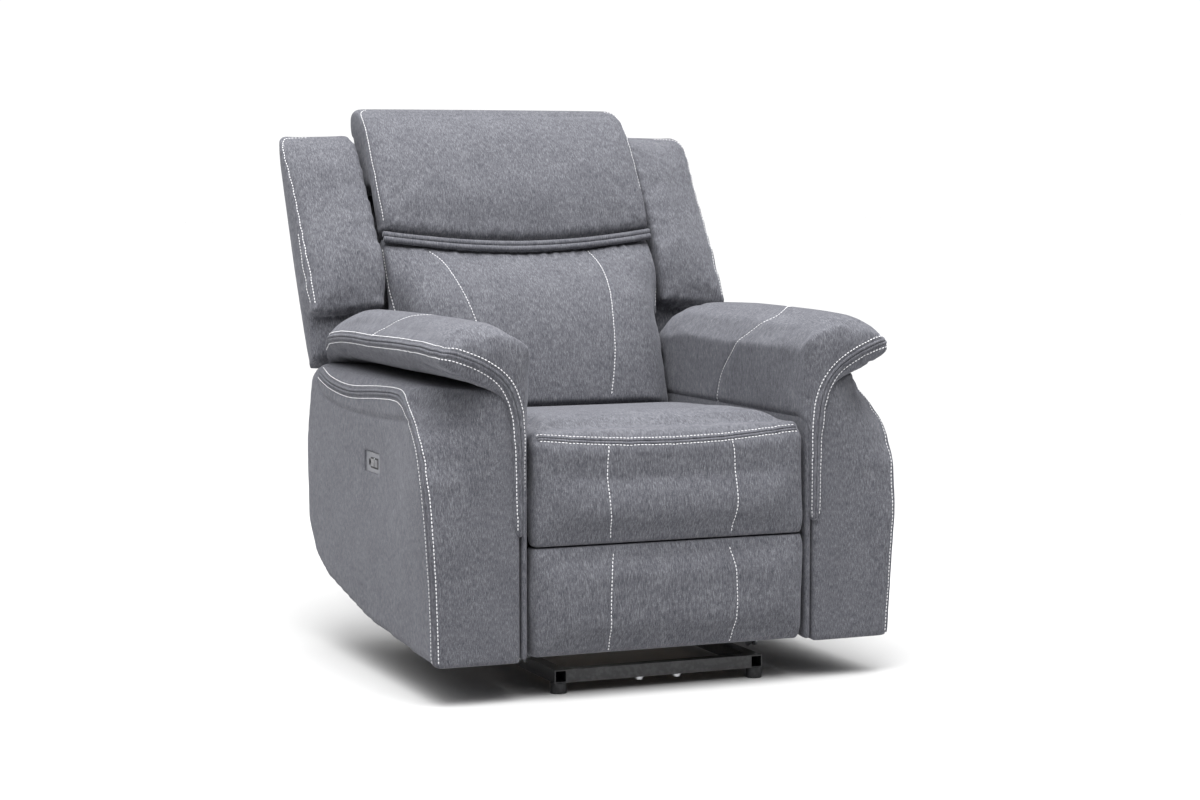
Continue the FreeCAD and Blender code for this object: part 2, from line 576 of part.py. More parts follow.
def back():
    """Everything that reclines; drawn upright about the recline pin, then leaned."""
    front, rear = "-cushion_rear", "-cushion_rear + 50"
    for side in SIDES:
        name = "back_upright_" + side
        low = mirrored(side, "plate_x + plate + 4", "30")
        post = box(name + "_post", low, "%s + 2" % front, "-60", "30", "48", "back_top + 12")
        foot = box(name + "_foot", low, "%s + 2" % front, "-60", "30", "cushion_rear + 18", "90")
        hole = rod(name + "_hole", "x", "%s - 1" % low, "0", "0", "recline_pin + play", "32")
        node(leaning(cut(name, fuse(name + "_solid", [post, foot]), [hole])), name)
    inner = "plate_x + plate + 4"
    for end, z in (("bottom", "30"), ("top", "back_top - 120")):
        name = "back_rail_" + end
        points = [("%s + 2" % front, z), (rear, z), (rear, "%s + 60" % z), ("%s + 2" % front, "%s + 60" % z)]
        node(leaning(slab(name, "x", points, "-(%s)" % inner, "2 * (%s)" % inner)), name)

    lumbar = [("-172", "-34"), ("-190", "back_split * 0.31"), ("-186", "back_split * 0.55"),
              ("-126", "back_split - 32"), ("-108", "back_split - 4"), (front, "back_split - 4"),
              (front, "-38")]
    shape = slab("lumbar_blank", "x", lumbar, "-back_half", "2 * back_half")
    notches = [box("lumbar_notch_" + side, mirrored(side, "seat_half", "30"), "-200", "-60", "30", "200",
                   "shoulder + 60") for side in SIDES]
    node(leaning(cut("lumbar_cushion", shape, notches)), "lumbar_cushion")
    head = [(front, "back_split"), ("-112", "back_split"), ("-130", "back_split + 32"),
            ("-120", "back_split + 96"), ("-92", "back_top - 98"), ("-66", "back_top - 36"),
            ("-46", "back_top - 18"), ("-10", "back_top"), ("4", "back_top - 10"),
            ("16", "back_top - 44"), (front, "back_top - 44")]
    node(leaning(slab("head_cushion", "x", head, "-back_half", "2 * back_half")), "head_cushion")

    wing = [("-97", "200"), ("-80", "wing_top * 0.57"), ("-56", "wing_top * 0.78"),
            ("-16", "wing_top + 4"), ("14", "wing_top + 16"), ("back_rear - 8", "wing_top + 12"),
            ("back_rear", "wing_top"), ("back_rear", "100"), ("-16", "100"), ("-16", "wing_sweep"),
            ("-50", "218")]
    for side in SIDES:
        name = "wing_" + side
        low, width = "back_half + soft_gap", "arm_outer + 6 - back_half - soft_gap"
        blank = slab(name + "_blank", "x", wing, mirrored(side, low, width), width)
        sweep = rod(name + "_sweep", "x", mirrored(side, "%s - 1" % low, "%s + 2" % width), "0", "0",
                    "wing_sweep", "%s + 2" % width)
        node(leaning(cut(name, blank, [sweep])), name)
    steps = [("plate_x - 8", "-110"), ("plate_x - 8", "36"), ("seat_half - 2", "36"),
             ("seat_half - 2", "wing_sweep + 4"), ("back_half", "wing_sweep + 4"), ("back_half", "wing_top")]
    panel = steps + [("-(%s)" % x, z) for x, z in reversed(steps)]
    node(leaning(slab("back_panel", "y", panel, "back_rear - skin - 8", "skin + 8")), "back_panel")


def footrest():
    """Plywood board and its padded front."""
    half = "seat_half"
    node(box("footrest_board", "-(%s - 6)" % half, "front_y + 80", "floor_gap + 12",
             "2 * (%s - 6)" % half, "board - 5", "toe_z + 18 - floor_gap - 12"), "footrest_board")
    points = [("front_y + 20", "floor_gap"), ("front_y + 6", "floor_gap + 24"),
              ("front_y + 2", "floor_gap + 84"), ("front_y + 4", "seat_split - 46"),
              ("front_y + 14", "seat_split - 14"),
              ("front_y + 28", "seat_split - 8"), ("front_y + 54", "seat_split - 16"),
              ("front_y + 80", "seat_split - 32"), ("front_y + 80", "floor_gap")]
    node(slab("footrest_pad", "x", points, "-seat_half", "2 * seat_half"), "footrest_pad")


floor_frame()
swing_links()
mechanism_plates()
footrest_links()
drive_train()
seat()
for hand in SIDES:
    arm(hand)
controls()
back()
footrest()
doc.recompute()

for piece in NODES:
    bad = [state for state in piece.State if state in ("Invalid", "Error")]
    if bad or piece.Shape.isNull() or not piece.Shape.isValid():
        raise RuntimeError("%s did not build: %s" % (piece.Label, piece.State))
for piece in NODES:
    piece.Shape.exportStep("parts/%s.step" % piece.Label)
print("%d pieces written" % len(NODES))
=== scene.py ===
"""Powered recliner armchair: upholstery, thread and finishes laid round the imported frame.

Lengths in the sub-assemblies are written in millimetres, as a cutting list has them, and every
mesh is in metres. Arm and wing parts are drawn for the side where x is positive and mirrored.
"""

import json
import logging
import math
from collections.abc import Callable, Sequence
from dataclasses import dataclass, field
from enum import Enum

import bmesh
import bpy
from mathutils import Matrix, Vector, noise
from mathutils.bvhtree import BVHTree
from mathutils.kdtree import KDTree

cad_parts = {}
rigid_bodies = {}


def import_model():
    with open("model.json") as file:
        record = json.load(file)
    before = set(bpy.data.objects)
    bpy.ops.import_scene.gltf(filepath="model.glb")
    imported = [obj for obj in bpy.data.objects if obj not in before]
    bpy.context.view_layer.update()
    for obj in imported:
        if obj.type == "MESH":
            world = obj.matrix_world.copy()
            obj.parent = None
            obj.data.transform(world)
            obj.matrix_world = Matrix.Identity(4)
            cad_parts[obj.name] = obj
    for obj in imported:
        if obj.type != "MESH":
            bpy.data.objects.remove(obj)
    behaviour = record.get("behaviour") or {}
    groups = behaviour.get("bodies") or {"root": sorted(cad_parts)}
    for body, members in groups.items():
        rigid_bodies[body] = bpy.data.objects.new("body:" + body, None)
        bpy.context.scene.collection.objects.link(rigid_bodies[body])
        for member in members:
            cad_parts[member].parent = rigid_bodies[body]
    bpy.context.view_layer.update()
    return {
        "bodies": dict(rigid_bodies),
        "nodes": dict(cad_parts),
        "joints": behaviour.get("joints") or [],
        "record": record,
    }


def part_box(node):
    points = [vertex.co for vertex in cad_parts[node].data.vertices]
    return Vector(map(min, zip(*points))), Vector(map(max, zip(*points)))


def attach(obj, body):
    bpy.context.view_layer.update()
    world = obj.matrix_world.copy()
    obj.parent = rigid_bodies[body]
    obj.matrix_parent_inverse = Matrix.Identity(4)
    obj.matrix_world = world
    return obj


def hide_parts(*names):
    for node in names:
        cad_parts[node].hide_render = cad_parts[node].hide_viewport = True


log = logging.getLogger("recliner")

MM = 0.001
Flat = tuple[float, float]
Spot = tuple[float, float, float]

BACK_LEAN = math.radians(25.0)
BACK_PIN = (0.0, 219.98, 440.0)

FLAT_CAP = 2.0        # pads that may move less than this are left as they were cut
FINE = 3.0            # the step of a sewn line
ROLL = 2.9            # the radius of a welt
PIN_ROUND = 0.1285    # the wings stay this far from the recline pin, in metres
SEAT_SIDE = 273.5     # half the room between the arms


class Side(Enum):
    """The two sides of the chair, as the sign of x."""

    LEFT = -1
    RIGHT = 1

    @property
    def word(self) -> str:
        """Returns the side's name as the nodes have it."""
        return self.name.lower()


class Sewing(Enum):
    """How two pieces of cloth are joined along a line."""

    PLAIN = "plain"
    TOPSTITCHED = "topstitched"
    FELLED = "felled"


# --------------------------------------------------------------------------- node trees


class Tree:
    """A short way to write a node tree."""

    def __init__(self, tree: bpy.types.NodeTree) -> None:
        """Args:
            tree: the node tree that is filled.
        """
        self.tree = tree

    def add(self, kind: str, inputs: dict | None = None, **settings: object) -> bpy.types.Node:
        """Adds one node.

        Args:
            kind: the node's type, without its ShaderNode prefix.
            inputs: values and links for its inputs, by name or number.
            settings: attributes of the node.

        Returns:
            The node.
        """
        name = kind if kind.startswith("Node") else "ShaderNode" + kind
        node = self.tree.nodes.new(name)
        for key, value in settings.items():
            setattr(node, key, value)
        for key, value in (inputs or {}).items():
            if isinstance(value, bpy.types.NodeSocket):
                self.tree.links.new(value, node.inputs[key])
            else:
                node.inputs[key].default_value = value
        return node

    def ramp(self, value: bpy.types.NodeSocket, stops: Sequence[tuple]) -> bpy.types.NodeSocket:
        """Colours a value.

        Args:
            value: the value, from 0 to 1.
            stops: pairs of a place and a colour, lowest first.

        Returns:
            The colour socket.
        """
        node = self.add("ValToRGB", {"Fac": value})
        ends = node.color_ramp.elements
        while len(ends) < len(stops):
            ends.new(0.5)
        for end, (place, colour) in zip(ends, stops):
            end.position = place
            end.color = (*colour, 1.0)
        return node.outputs["Color"]

    def maths(self, operation: str, *values: object, clamp: bool = False) -> bpy.types.NodeSocket:
        """Adds a sum of one, two or three values.

        Args:
            operation: the Math node's operation.
            values: its inputs, in order.
            clamp: whether the result is kept from 0 to 1.

        Returns:
            The result's socket.
        """
        node = self.add("Math", dict(enumerate(values)), operation=operation, use_clamp=clamp)
        return node.outputs[0]

    def scaled(self, vector: bpy.types.NodeSocket, scale: Spot) -> bpy.types.NodeSocket:
        """Returns the vector with each part multiplied by its own factor."""
        node = self.add("VectorMath", {0: vector, 1: scale}, operation="MULTIPLY")
        return node.outputs[0]

    def grain(self, vector: bpy.types.NodeSocket, scale: float, detail: float = 2.0,
              rough: float = 0.5) -> bpy.types.NodeSocket:
        """Returns a noise value from 0 to 1 on the given coordinates."""
        node = self.add("TexNoise", {"Vector": vector, "Scale": scale, "Detail": detail,
                                     "Roughness": rough})
        return node.outputs["Fac"]


def new_group(name: str, outputs: dict[str, str]) -> tuple[Tree, bpy.types.Node, bpy.types.NodeTree]:
    """Starts a node group that reads Object coordinates and the normal.

    Args:
        name: the group's name.
        outputs: each output socket's name and type.

    Returns:
        Its tree, its output node and the group.
    """
    group = bpy.data.node_groups.new(name, "ShaderNodeTree")
    for label, kind in outputs.items():
        group.interface.new_socket(label, in_out="OUTPUT", socket_type=kind)
    tree = Tree(group)
    return tree, tree.add("NodeGroupOutput"), group


def woven_group() -> bpy.types.NodeTree:
    """Builds the melange cloth: slubs along the warp, pale flecks, mottle and the fine weave.

    Returns:
        The group, with a Colour, a Roughness and a Height output.
    """
    tree, end, group = new_group(
        "woven_melange", {"Colour": "NodeSocketColor", "Roughness": "NodeSocketFloat",
                          "Height": "NodeSocketFloat"})
    place = tree.add("TexCoord")
    where, normal = place.outputs["Object"], place.outputs["Normal"]
    sideways = tree.maths("ABSOLUTE", tree.add("SeparateXYZ", {0: normal}).outputs["X"])
    sideways = tree.add("MapRange", {"Value": sideways, "From Min": 0.55, "From Max": 0.8}).outputs[0]

    def both(scale: float, detail: float, squeeze: float) -> bpy.types.NodeSocket:
        """Returns noise drawn out along the warp, for faces and for sides."""
        face = tree.grain(tree.scaled(where, (1.0, squeeze, squeeze)), scale, detail, 0.6)
        flank = tree.grain(tree.scaled(where, (squeeze, 1.0, squeeze)), scale, detail, 0.6)
        mix = tree.add("Mix", {"Factor": sideways, 2: face, 3: flank}, data_type="FLOAT")
        return mix.outputs[0]

    slubs = both(700.0, 2.0, 0.18)
    flecks = both(1300.0, 1.0, 0.5)
    mottle = tree.grain(where, 90.0, 2.0)
    cloud = tree.grain(where, 14.0, 2.0)
    tone = tree.maths("MULTIPLY_ADD", slubs, 0.50, 0.0)
    tone = tree.maths("MULTIPLY_ADD", flecks, 0.29, tone)
    tone = tree.maths("MULTIPLY_ADD", mottle, 0.13, tone)
    tone = tree.maths("MULTIPLY_ADD", cloud, 0.08, tone)
    colour = tree.ramp(tone, [(0.36, (0.042, 0.0425, 0.051)), (0.46, (0.079, 0.080, 0.093)),
                              (0.54, (0.113, 0.115, 0.130)), (0.64, (0.188, 0.191, 0.208))])
    threads = tree.add("TexVoronoi", {"Vector": where, "Scale": 900.0, "Randomness": 0.35}, feature="F1")
    height = tree.maths("MULTIPLY_ADD", threads.outputs["Distance"], -0.35,
                        tree.maths("MULTIPLY", slubs, 0.65))
    rough = tree.add("MapRange", {"Value": tone, "From Min": 0.35, "From Max": 0.65, "To Min": 0.95,
                                  "To Max": 0.80}).outputs[0]
    tree.tree.links.new(colour, end.inputs["Colour"])
    tree.tree.links.new(rough, end.inputs["Roughness"])
    tree.tree.links.new(height, end.inputs["Height"])
    return group


def worn_group() -> bpy.types.NodeTree:
    """Builds handling marks for painted and moulded parts: edge wear, smudges of dust at random, fine
    pits.

    Returns:
        The group, with a Wear, a Smudge and a Pits output.
    """
    tree, end, group = new_group(
        "handling_marks", {"Wear": "NodeSocketFloat", "Smudge": "NodeSocketFloat",
                           "Pits": "NodeSocketFloat"})
    place = tree.add("TexCoord").outputs["Object"]
    point = tree.add("NewGeometry").outputs["Pointiness"]
    edge = tree.add("MapRange", {"Value": point, "From Min": 0.56, "From Max": 0.68}).outputs[0]
    broken = tree.add("MapRange", {"Value": tree.grain(place, 120.0, 4.0), "From Min": 0.45,
                                   "From Max": 0.6}).outputs[0]
    tree.tree.links.new(tree.maths("MULTIPLY", edge, broken, clamp=True), end.inputs["Wear"])
    tree.tree.links.new(tree.grain(place, 18.0, 5.0, 0.6), end.inputs["Smudge"])
    tree.tree.links.new(tree.grain(place, 1500.0, 2.0), end.inputs["Pits"])
    return group


# --------------------------------------------------------------------------- finishes


@dataclass(frozen=True)
class Cloth:
    """Grey melange upholstery cloth.

    Attributes:
        group: the shared weave.
        name: the material's name.
    """

    group: bpy.types.NodeTree
    name: str = "grey_melange_cloth"

    def make(self) -> bpy.types.Material:
        """Returns the material."""
        material = bpy.data.materials.new(self.name)
        material.use_nodes = True
        tree = Tree(material.node_tree)
        shader = material.node_tree.nodes["Principled BSDF"]
        weave = tree.add("Group", node_tree=self.group)
        bump = tree.add("Bump", {"Strength": 0.55, "Distance": 0.0012,
                                 "Height": weave.outputs["Height"]})
        tree.tree.links.new(weave.outputs["Colour"], shader.inputs["Base Color"])
        tree.tree.links.new(weave.outputs["Roughness"], shader.inputs["Roughness"])
        tree.tree.links.new(bump.outputs["Normal"], shader.inputs["Normal"])
        shader.inputs["Sheen Weight"].default_value = 0.15
        shader.inputs["Sheen Roughness"].default_value = 0.45
        shader.inputs["Sheen Tint"].default_value = (0.80, 0.82, 0.90, 1.0)
        shader.inputs["Specular IOR Level"].default_value = 0.25
        return material


@dataclass(frozen=True)
class Thread:
    """Thick pale topstitching thread with a visible twist."""

    name: str = "pale_thread"

    def make(self) -> bpy.types.Material:
        """Returns the material."""
        material = bpy.data.materials.new(self.name)
        material.use_nodes = True
        tree = Tree(material.node_tree)
        shader = material.node_tree.nodes["Principled BSDF"]
        place = tree.add("TexCoord").outputs["Object"]
        colour = tree.ramp(tree.grain(place, 260.0, 3.0), [(0.3, (0.62, 0.62, 0.64)),
                                                           (0.7, (0.88, 0.88, 0.90))])
        twist = tree.add("TexWave", {"Vector": place, "Scale": 420.0, "Distortion": 1.5},
                         bands_direction="DIAGONAL")
        bump = tree.add("Bump", {"Strength": 0.4, "Distance": 0.0005, "Height": twist.outputs["Fac"]})
        tree.tree.links.new(colour, shader.inputs["Base Color"])
        tree.tree.links.new(bump.outputs["Normal"], shader.inputs["Normal"])
        shader.inputs["Roughness"].default_value = 0.6
        shader.inputs["Sheen Weight"].default_value = 0.2
        return material


@dataclass(frozen=True)
class HardFinish:
    """Paint, plating or moulding: a colour that wears at its edges and smudges over its faces.

    Attributes:
        name: the material's name.
        base: its colour.
        worn: the colour at worn edges.
        low_rough: its roughness where it is cleanest.
        high_rough: its roughness where it is dullest.
        metallic: 1 for bare or plated metal.
        coat: the weight of a clear coat.
        pits: the depth of its texture, in millimetres.
    """

    name: str
    base: Spot
    worn: Spot
    low_rough: float
    high_rough: float
    metallic: float = 0.0
    coat: float = 0.0
    pits: float = 0.05

    def make(self, marks: bpy.types.NodeTree) -> bpy.types.Material:
        """Builds the material.

        Args:
            marks: the shared handling marks.

        Returns:
            The material.
        """
        material = bpy.data.materials.new(self.name)
        material.use_nodes = True
        tree = Tree(material.node_tree)
        shader = material.node_tree.nodes["Principled BSDF"]
        worn = tree.add("Group", node_tree=marks)
        dull = tuple(0.86 * part for part in self.base)
        tone = tree.ramp(worn.outputs["Smudge"], [(0.35, dull), (0.65, self.base)])
        mix = tree.add("Mix", {"Factor": worn.outputs["Wear"], 6: tone, 7: (*self.worn, 1.0)},
                       data_type="RGBA")
        rough = tree.add("MapRange", {"Value": worn.outputs["Smudge"], "From Min": 0.3, "From Max": 0.7,
                                      "To Min": self.low_rough, "To Max": self.high_rough})
        bump = tree.add("Bump", {"Strength": 0.5, "Distance": self.pits * MM,
                                 "Height": worn.outputs["Pits"]})
        tree.tree.links.new(mix.outputs[2], shader.inputs["Base Color"])
        tree.tree.links.new(rough.outputs[0], shader.inputs["Roughness"])
        tree.tree.links.new(bump.outputs["Normal"], shader.inputs["Normal"])
        shader.inputs["Metallic"].default_value = self.metallic
        shader.inputs["Coat Weight"].default_value = self.coat
        return material


@dataclass(frozen=True)
class Boards:
    """Plywood and pine of the hidden frame, with its growth rings drawn along each board."""

    name: str = "frame_plywood"

    def make(self) -> bpy.types.Material:
        """Returns the material."""
        material = bpy.data.materials.new(self.name)
        material.use_nodes = True
        tree = Tree(material.node_tree)
        shader = material.node_tree.nodes["Principled BSDF"]
        place = tree.add("TexCoord").outputs["Object"]
        rings = tree.grain(tree.scaled(place, (9.0, 1.0, 30.0)), 6.0, 6.0, 0.65)
        pores = tree.grain(tree.scaled(place, (60.0, 4.0, 60.0)), 20.0, 3.0)
        value = tree.maths("MULTIPLY_ADD", pores, 0.3, tree.maths("MULTIPLY", rings, 0.7))
        colour = tree.ramp(value, [(0.32, (0.30, 0.17, 0.075)), (0.5, (0.50, 0.32, 0.17)),
                                   (0.7, (0.63, 0.45, 0.27))])
        bump = tree.add("Bump", {"Strength": 0.4, "Distance": 0.0006, "Height": value})
        rough = tree.add("MapRange", {"Value": value, "To Min": 0.55, "To Max": 0.8}).outputs[0]
        tree.tree.links.new(colour, shader.inputs["Base Color"])
        tree.tree.links.new(rough, shader.inputs["Roughness"])
        tree.tree.links.new(bump.outputs["Normal"], shader.inputs["Normal"])
        return material


@dataclass(frozen=True)
class Lamp:
    """The small lit pilot lamp in the control plate."""

    name: str = "pilot_lamp"

    def make(self) -> bpy.types.Material:
        """Returns the material."""
        material = bpy.data.materials.new(self.name)
        material.use_nodes = True
        tree = Tree(material.node_tree)
        shader = material.node_tree.nodes["Principled BSDF"]
        place = tree.add("TexCoord").outputs["Object"]
        colour = tree.ramp(tree.grain(place, 900.0), [(0.3, (0.75, 0.78, 0.82)),
                                                      (0.7, (0.95, 0.97, 1.0))])
        tree.tree.links.new(colour, shader.inputs["Base Color"])
        tree.tree.links.new(colour, shader.inputs["Emission Color"])
        shader.inputs["Emission Strength"].default_value = 0.1
        shader.inputs["Roughness"].default_value = 0.3
        return material


class Palette:
    """Every finish of the chair, each made once."""

    def __init__(self) -> None:
        """Makes the shared groups and the materials."""
        marks = worn_group()
        self.cloth = Cloth(woven_group()).make()
        self.thread = Thread().make()
        self.steel = HardFinish("black_powder_coat", (0.012, 0.012, 0.014), (0.035, 0.035, 0.038),
                                0.30, 0.46, coat=0.15, pits=0.12).make(marks)
        self.zinc = HardFinish("bright_zinc", (0.60, 0.61, 0.63), (0.78, 0.78, 0.80), 0.22, 0.42,
                               metallic=1.0, pits=0.04).make(marks)
        self.glide = HardFinish("moulded_glide", (0.016, 0.016, 0.018), (0.06, 0.06, 0.065), 0.45, 0.65,
                                pits=0.15).make(marks)
        self.housing = HardFinish("moulded_housing", (0.022, 0.022, 0.025), (0.08, 0.08, 0.085), 0.40,
                                  0.60,
                                  pits=0.20).make(marks)
        self.button = HardFinish("button_moulding", (0.145, 0.148, 0.160), (0.22, 0.22, 0.23), 0.38,
                                 0.55,
                                 pits=0.06).make(marks)
        self.plate = HardFinish("satin_plate", (0.23, 0.235, 0.26), (0.42, 0.42, 0.44), 0.34, 0.48,
                                metallic=0.55, pits=0.05).make(marks)
        self.well = HardFinish("dark_well", (0.010, 0.010, 0.012), (0.03, 0.03, 0.03), 0.5, 0.7,
                               pits=0.05).make(marks)
        self.boards = Boards().make()
        self.lamp = Lamp().make()

    def for_slot(self, slot: str) -> bpy.types.Material:
        """Returns the finish for one of the record's material slots."""
        return {"upholstery": self.cloth, "timber": self.boards, "glide_plastic": self.glide,
                "zinc_steel": self.zinc, "button_plastic": self.button, "satin_metal": self.plate,
                "black_plastic": self.housing, "black_steel": self.steel}[slot]


# --------------------------------------------------------------------------- mesh work


def prism(outline: Sequence[Flat], axis: str, start: float, end: float) -> bmesh.types.BMesh:
    """Draws an outline and pulls it out along an axis.

    Args:
        outline: its corners in the two other axes, in order, in millimetres.
        axis: the axis that it is pulled along.
        start: where it starts along that axis.
        end: where it ends.

    Returns:
        The closed solid, in metres.
    """
    def spot(a: float, b: float) -> Vector:
        """Returns one corner of the drawn face."""
        places = {"x": (start, a, b), "y": (a, start, b), "z": (a, b, start)}[axis]
        return Vector(places) * MM

    bm = bmesh.new()
    face = bm.faces.new([bm.verts.new(spot(a, b)) for a, b in outline])
    pulled = bmesh.ops.extrude_face_region(bm, geom=[face])
    shift = {"x": (1, 0, 0), "y": (0, 1, 0), "z": (0, 0, 1)}[axis]
    bmesh.ops.translate(bm, vec=Vector(shift) * (end - start) * MM,
                        verts=[g for g in pulled["geom"] if isinstance(g, bmesh.types.BMVert)])
    bmesh.ops.recalc_face_normals(bm, faces=bm.faces)
    return bm


def pull_on(bm: bmesh.types.BMesh, axis: int, far: float, step: float, centre: Spot,
            scale: Spot) -> None:
    """Pulls the end face of a solid further out and scales it, to taper or round the end.

    Args:
        bm: the solid.
        axis: the axis that the end face crosses, as a number.
        far: the sign of that end.
        step: how far it is pulled, in millimetres.
        centre: the point that the scale keeps, in millimetres.
        scale: the scale of the new end face.
    """
    edge = max(far * v.co[axis] for v in bm.verts)
    face = next(f for f in bm.faces if all(abs(far * v.co[axis] - edge) < 1e-6 for v in f.verts))
    pulled = bmesh.ops.extrude_face_region(bm, geom=[face])
    verts = [g for g in pulled["geom"] if isinstance(g, bmesh.types.BMVert)]
    shift = Vector((0, 0, 0))
    shift[axis] = far * step * MM
    bmesh.ops.translate(bm, vec=shift, verts=verts)
    middle = Matrix.Translation(-Vector(centre) * MM)
    bmesh.ops.scale(bm, vec=Vector(scale), space=middle, verts=verts)
    bmesh.ops.delete(bm, geom=[face] if face.is_valid else [], context="FACES_ONLY")
    bmesh.ops.recalc_face_normals(bm, faces=bm.faces)


def soften(bm: bmesh.types.BMesh, keep: Callable[[Vector, Vector], bool], offset: float,
           segments: int = 4) -> None:
    """Bevels the edges that a test picks.

    Args:
        bm: the solid.
        keep: takes an edge's two ends and says whether it is bevelled.
        offset: the bevel's size, in millimetres.
        segments: how many steps it has.
    """
    edges = [e for e in bm.edges if keep(e.verts[0].co, e.verts[1].co)]
    bmesh.ops.bevel(bm, geom=edges, offset=offset * MM, segments=segments, profile=0.5, affect="EDGES",
                    material=-1, clamp_overlap=True)


def as_object(name: str, solids: Sequence[bmesh.types.BMesh]) -> bpy.types.Object:
    """Puts solids together in one object at the origin.

    Args:
        name: the object's name.
        solids: the solids, which are freed.

    Returns:
        The object, in the scene.
    """
    whole = bmesh.new()
    for bm in solids:
        part = bpy.data.meshes.new("part")
        bm.to_mesh(part)
        bm.free()
        whole.from_mesh(part)
        bpy.data.meshes.remove(part)
    mesh = bpy.data.meshes.new(name)
    whole.to_mesh(mesh)
    whole.free()
    piece = bpy.data.objects.new(name, mesh)
    bpy.context.scene.collection.objects.link(piece)
    return piece


def settle(piece: bpy.types.Object) -> None:
    """Applies the object's modifiers to its mesh."""
    graph = bpy.context.evaluated_depsgraph_get()
    done = bpy.data.meshes.new_from_object(piece.evaluated_get(graph))
    old = piece.data
    piece.modifiers.clear()
    piece.data = done
    done.name = piece.name
    bpy.data.meshes.remove(old)


def weld(piece: bpy.types.Object, voxel: float, passes: int = 4) -> None:
    """Welds overlapping solids into one even skin and rounds it.

    Args:
        piece: the object.
        voxel: the size of its faces, in millimetres.
        passes: how often it is smoothed.
    """
    grid = piece.modifiers.new("skin", "REMESH")
    grid.mode = "VOXEL"
    grid.voxel_size = voxel * MM
    smooth = piece.modifiers.new("round", "SMOOTH")
    smooth.factor = 0.5
    smooth.iterations = passes
    settle(piece)


def refine(piece: bpy.types.Object) -> None:
    """Gives the piece one step of subdivision and smooth shading."""
    step = piece.modifiers.new("refine", "SUBSURF")
    step.levels = step.render_levels = 1
    settle(piece)
    piece.data.polygons.foreach_set("use_smooth", [True] * len(piece.data.polygons))


def leaning() -> Matrix:
    """Returns the matrix from the back's own upright axes to the chair's."""
    return Matrix.Translation(Vector(BACK_PIN) * MM) @ Matrix.Rotation(-BACK_LEAN, 4, "X")


def turned(piece: bpy.types.Object, matrix: Matrix) -> None:
    """Moves the mesh, and turns it the right way out if the matrix mirrors it."""
    piece.data.transform(matrix)
    if matrix.determinant() < 0:
        piece.data.flip_normals()


def shaped(piece: bpy.types.Object, move: Callable[[Vector], Vector]) -> None:
    """Passes every vertex of the piece through a function of its place."""
    for vert in piece.data.vertices:
        vert.co = move(vert.co.copy())
    piece.data.update()


def along(value: float, table: Sequence[Flat]) -> float:
    """Reads a curve drawn through a few points.

    Args:
        value: where it is read.
        table: pairs of a place and a height, places rising.

    Returns:
        The height there.
    """
    if value <= table[0][0]:
        return table[0][1]
    for (a, low), (b, high) in zip(table, table[1:]):
        if value <= b:
            part = (value - a) / (b - a)
            part = part * part * (3 - 2 * part)
            return low + (high - low) * part
    return table[-1][1]


# --------------------------------------------------------------------------- padding


@dataclass
class Pad:
    """A stuffed piece while it is made.

    Attributes:
        piece: its object.
        cap: how far the filling may push the cloth, in millimetres.
        held: says how firmly a point is held, from 0 to 1.
        room: brings a point back inside the room that the piece has.
        fill: how full it is; not used.
    """

    piece: bpy.types.Object
    cap: float
    held: Callable[[Vector], float]
    room: Callable[[Vector], Vector]
    fill: float = 0.6


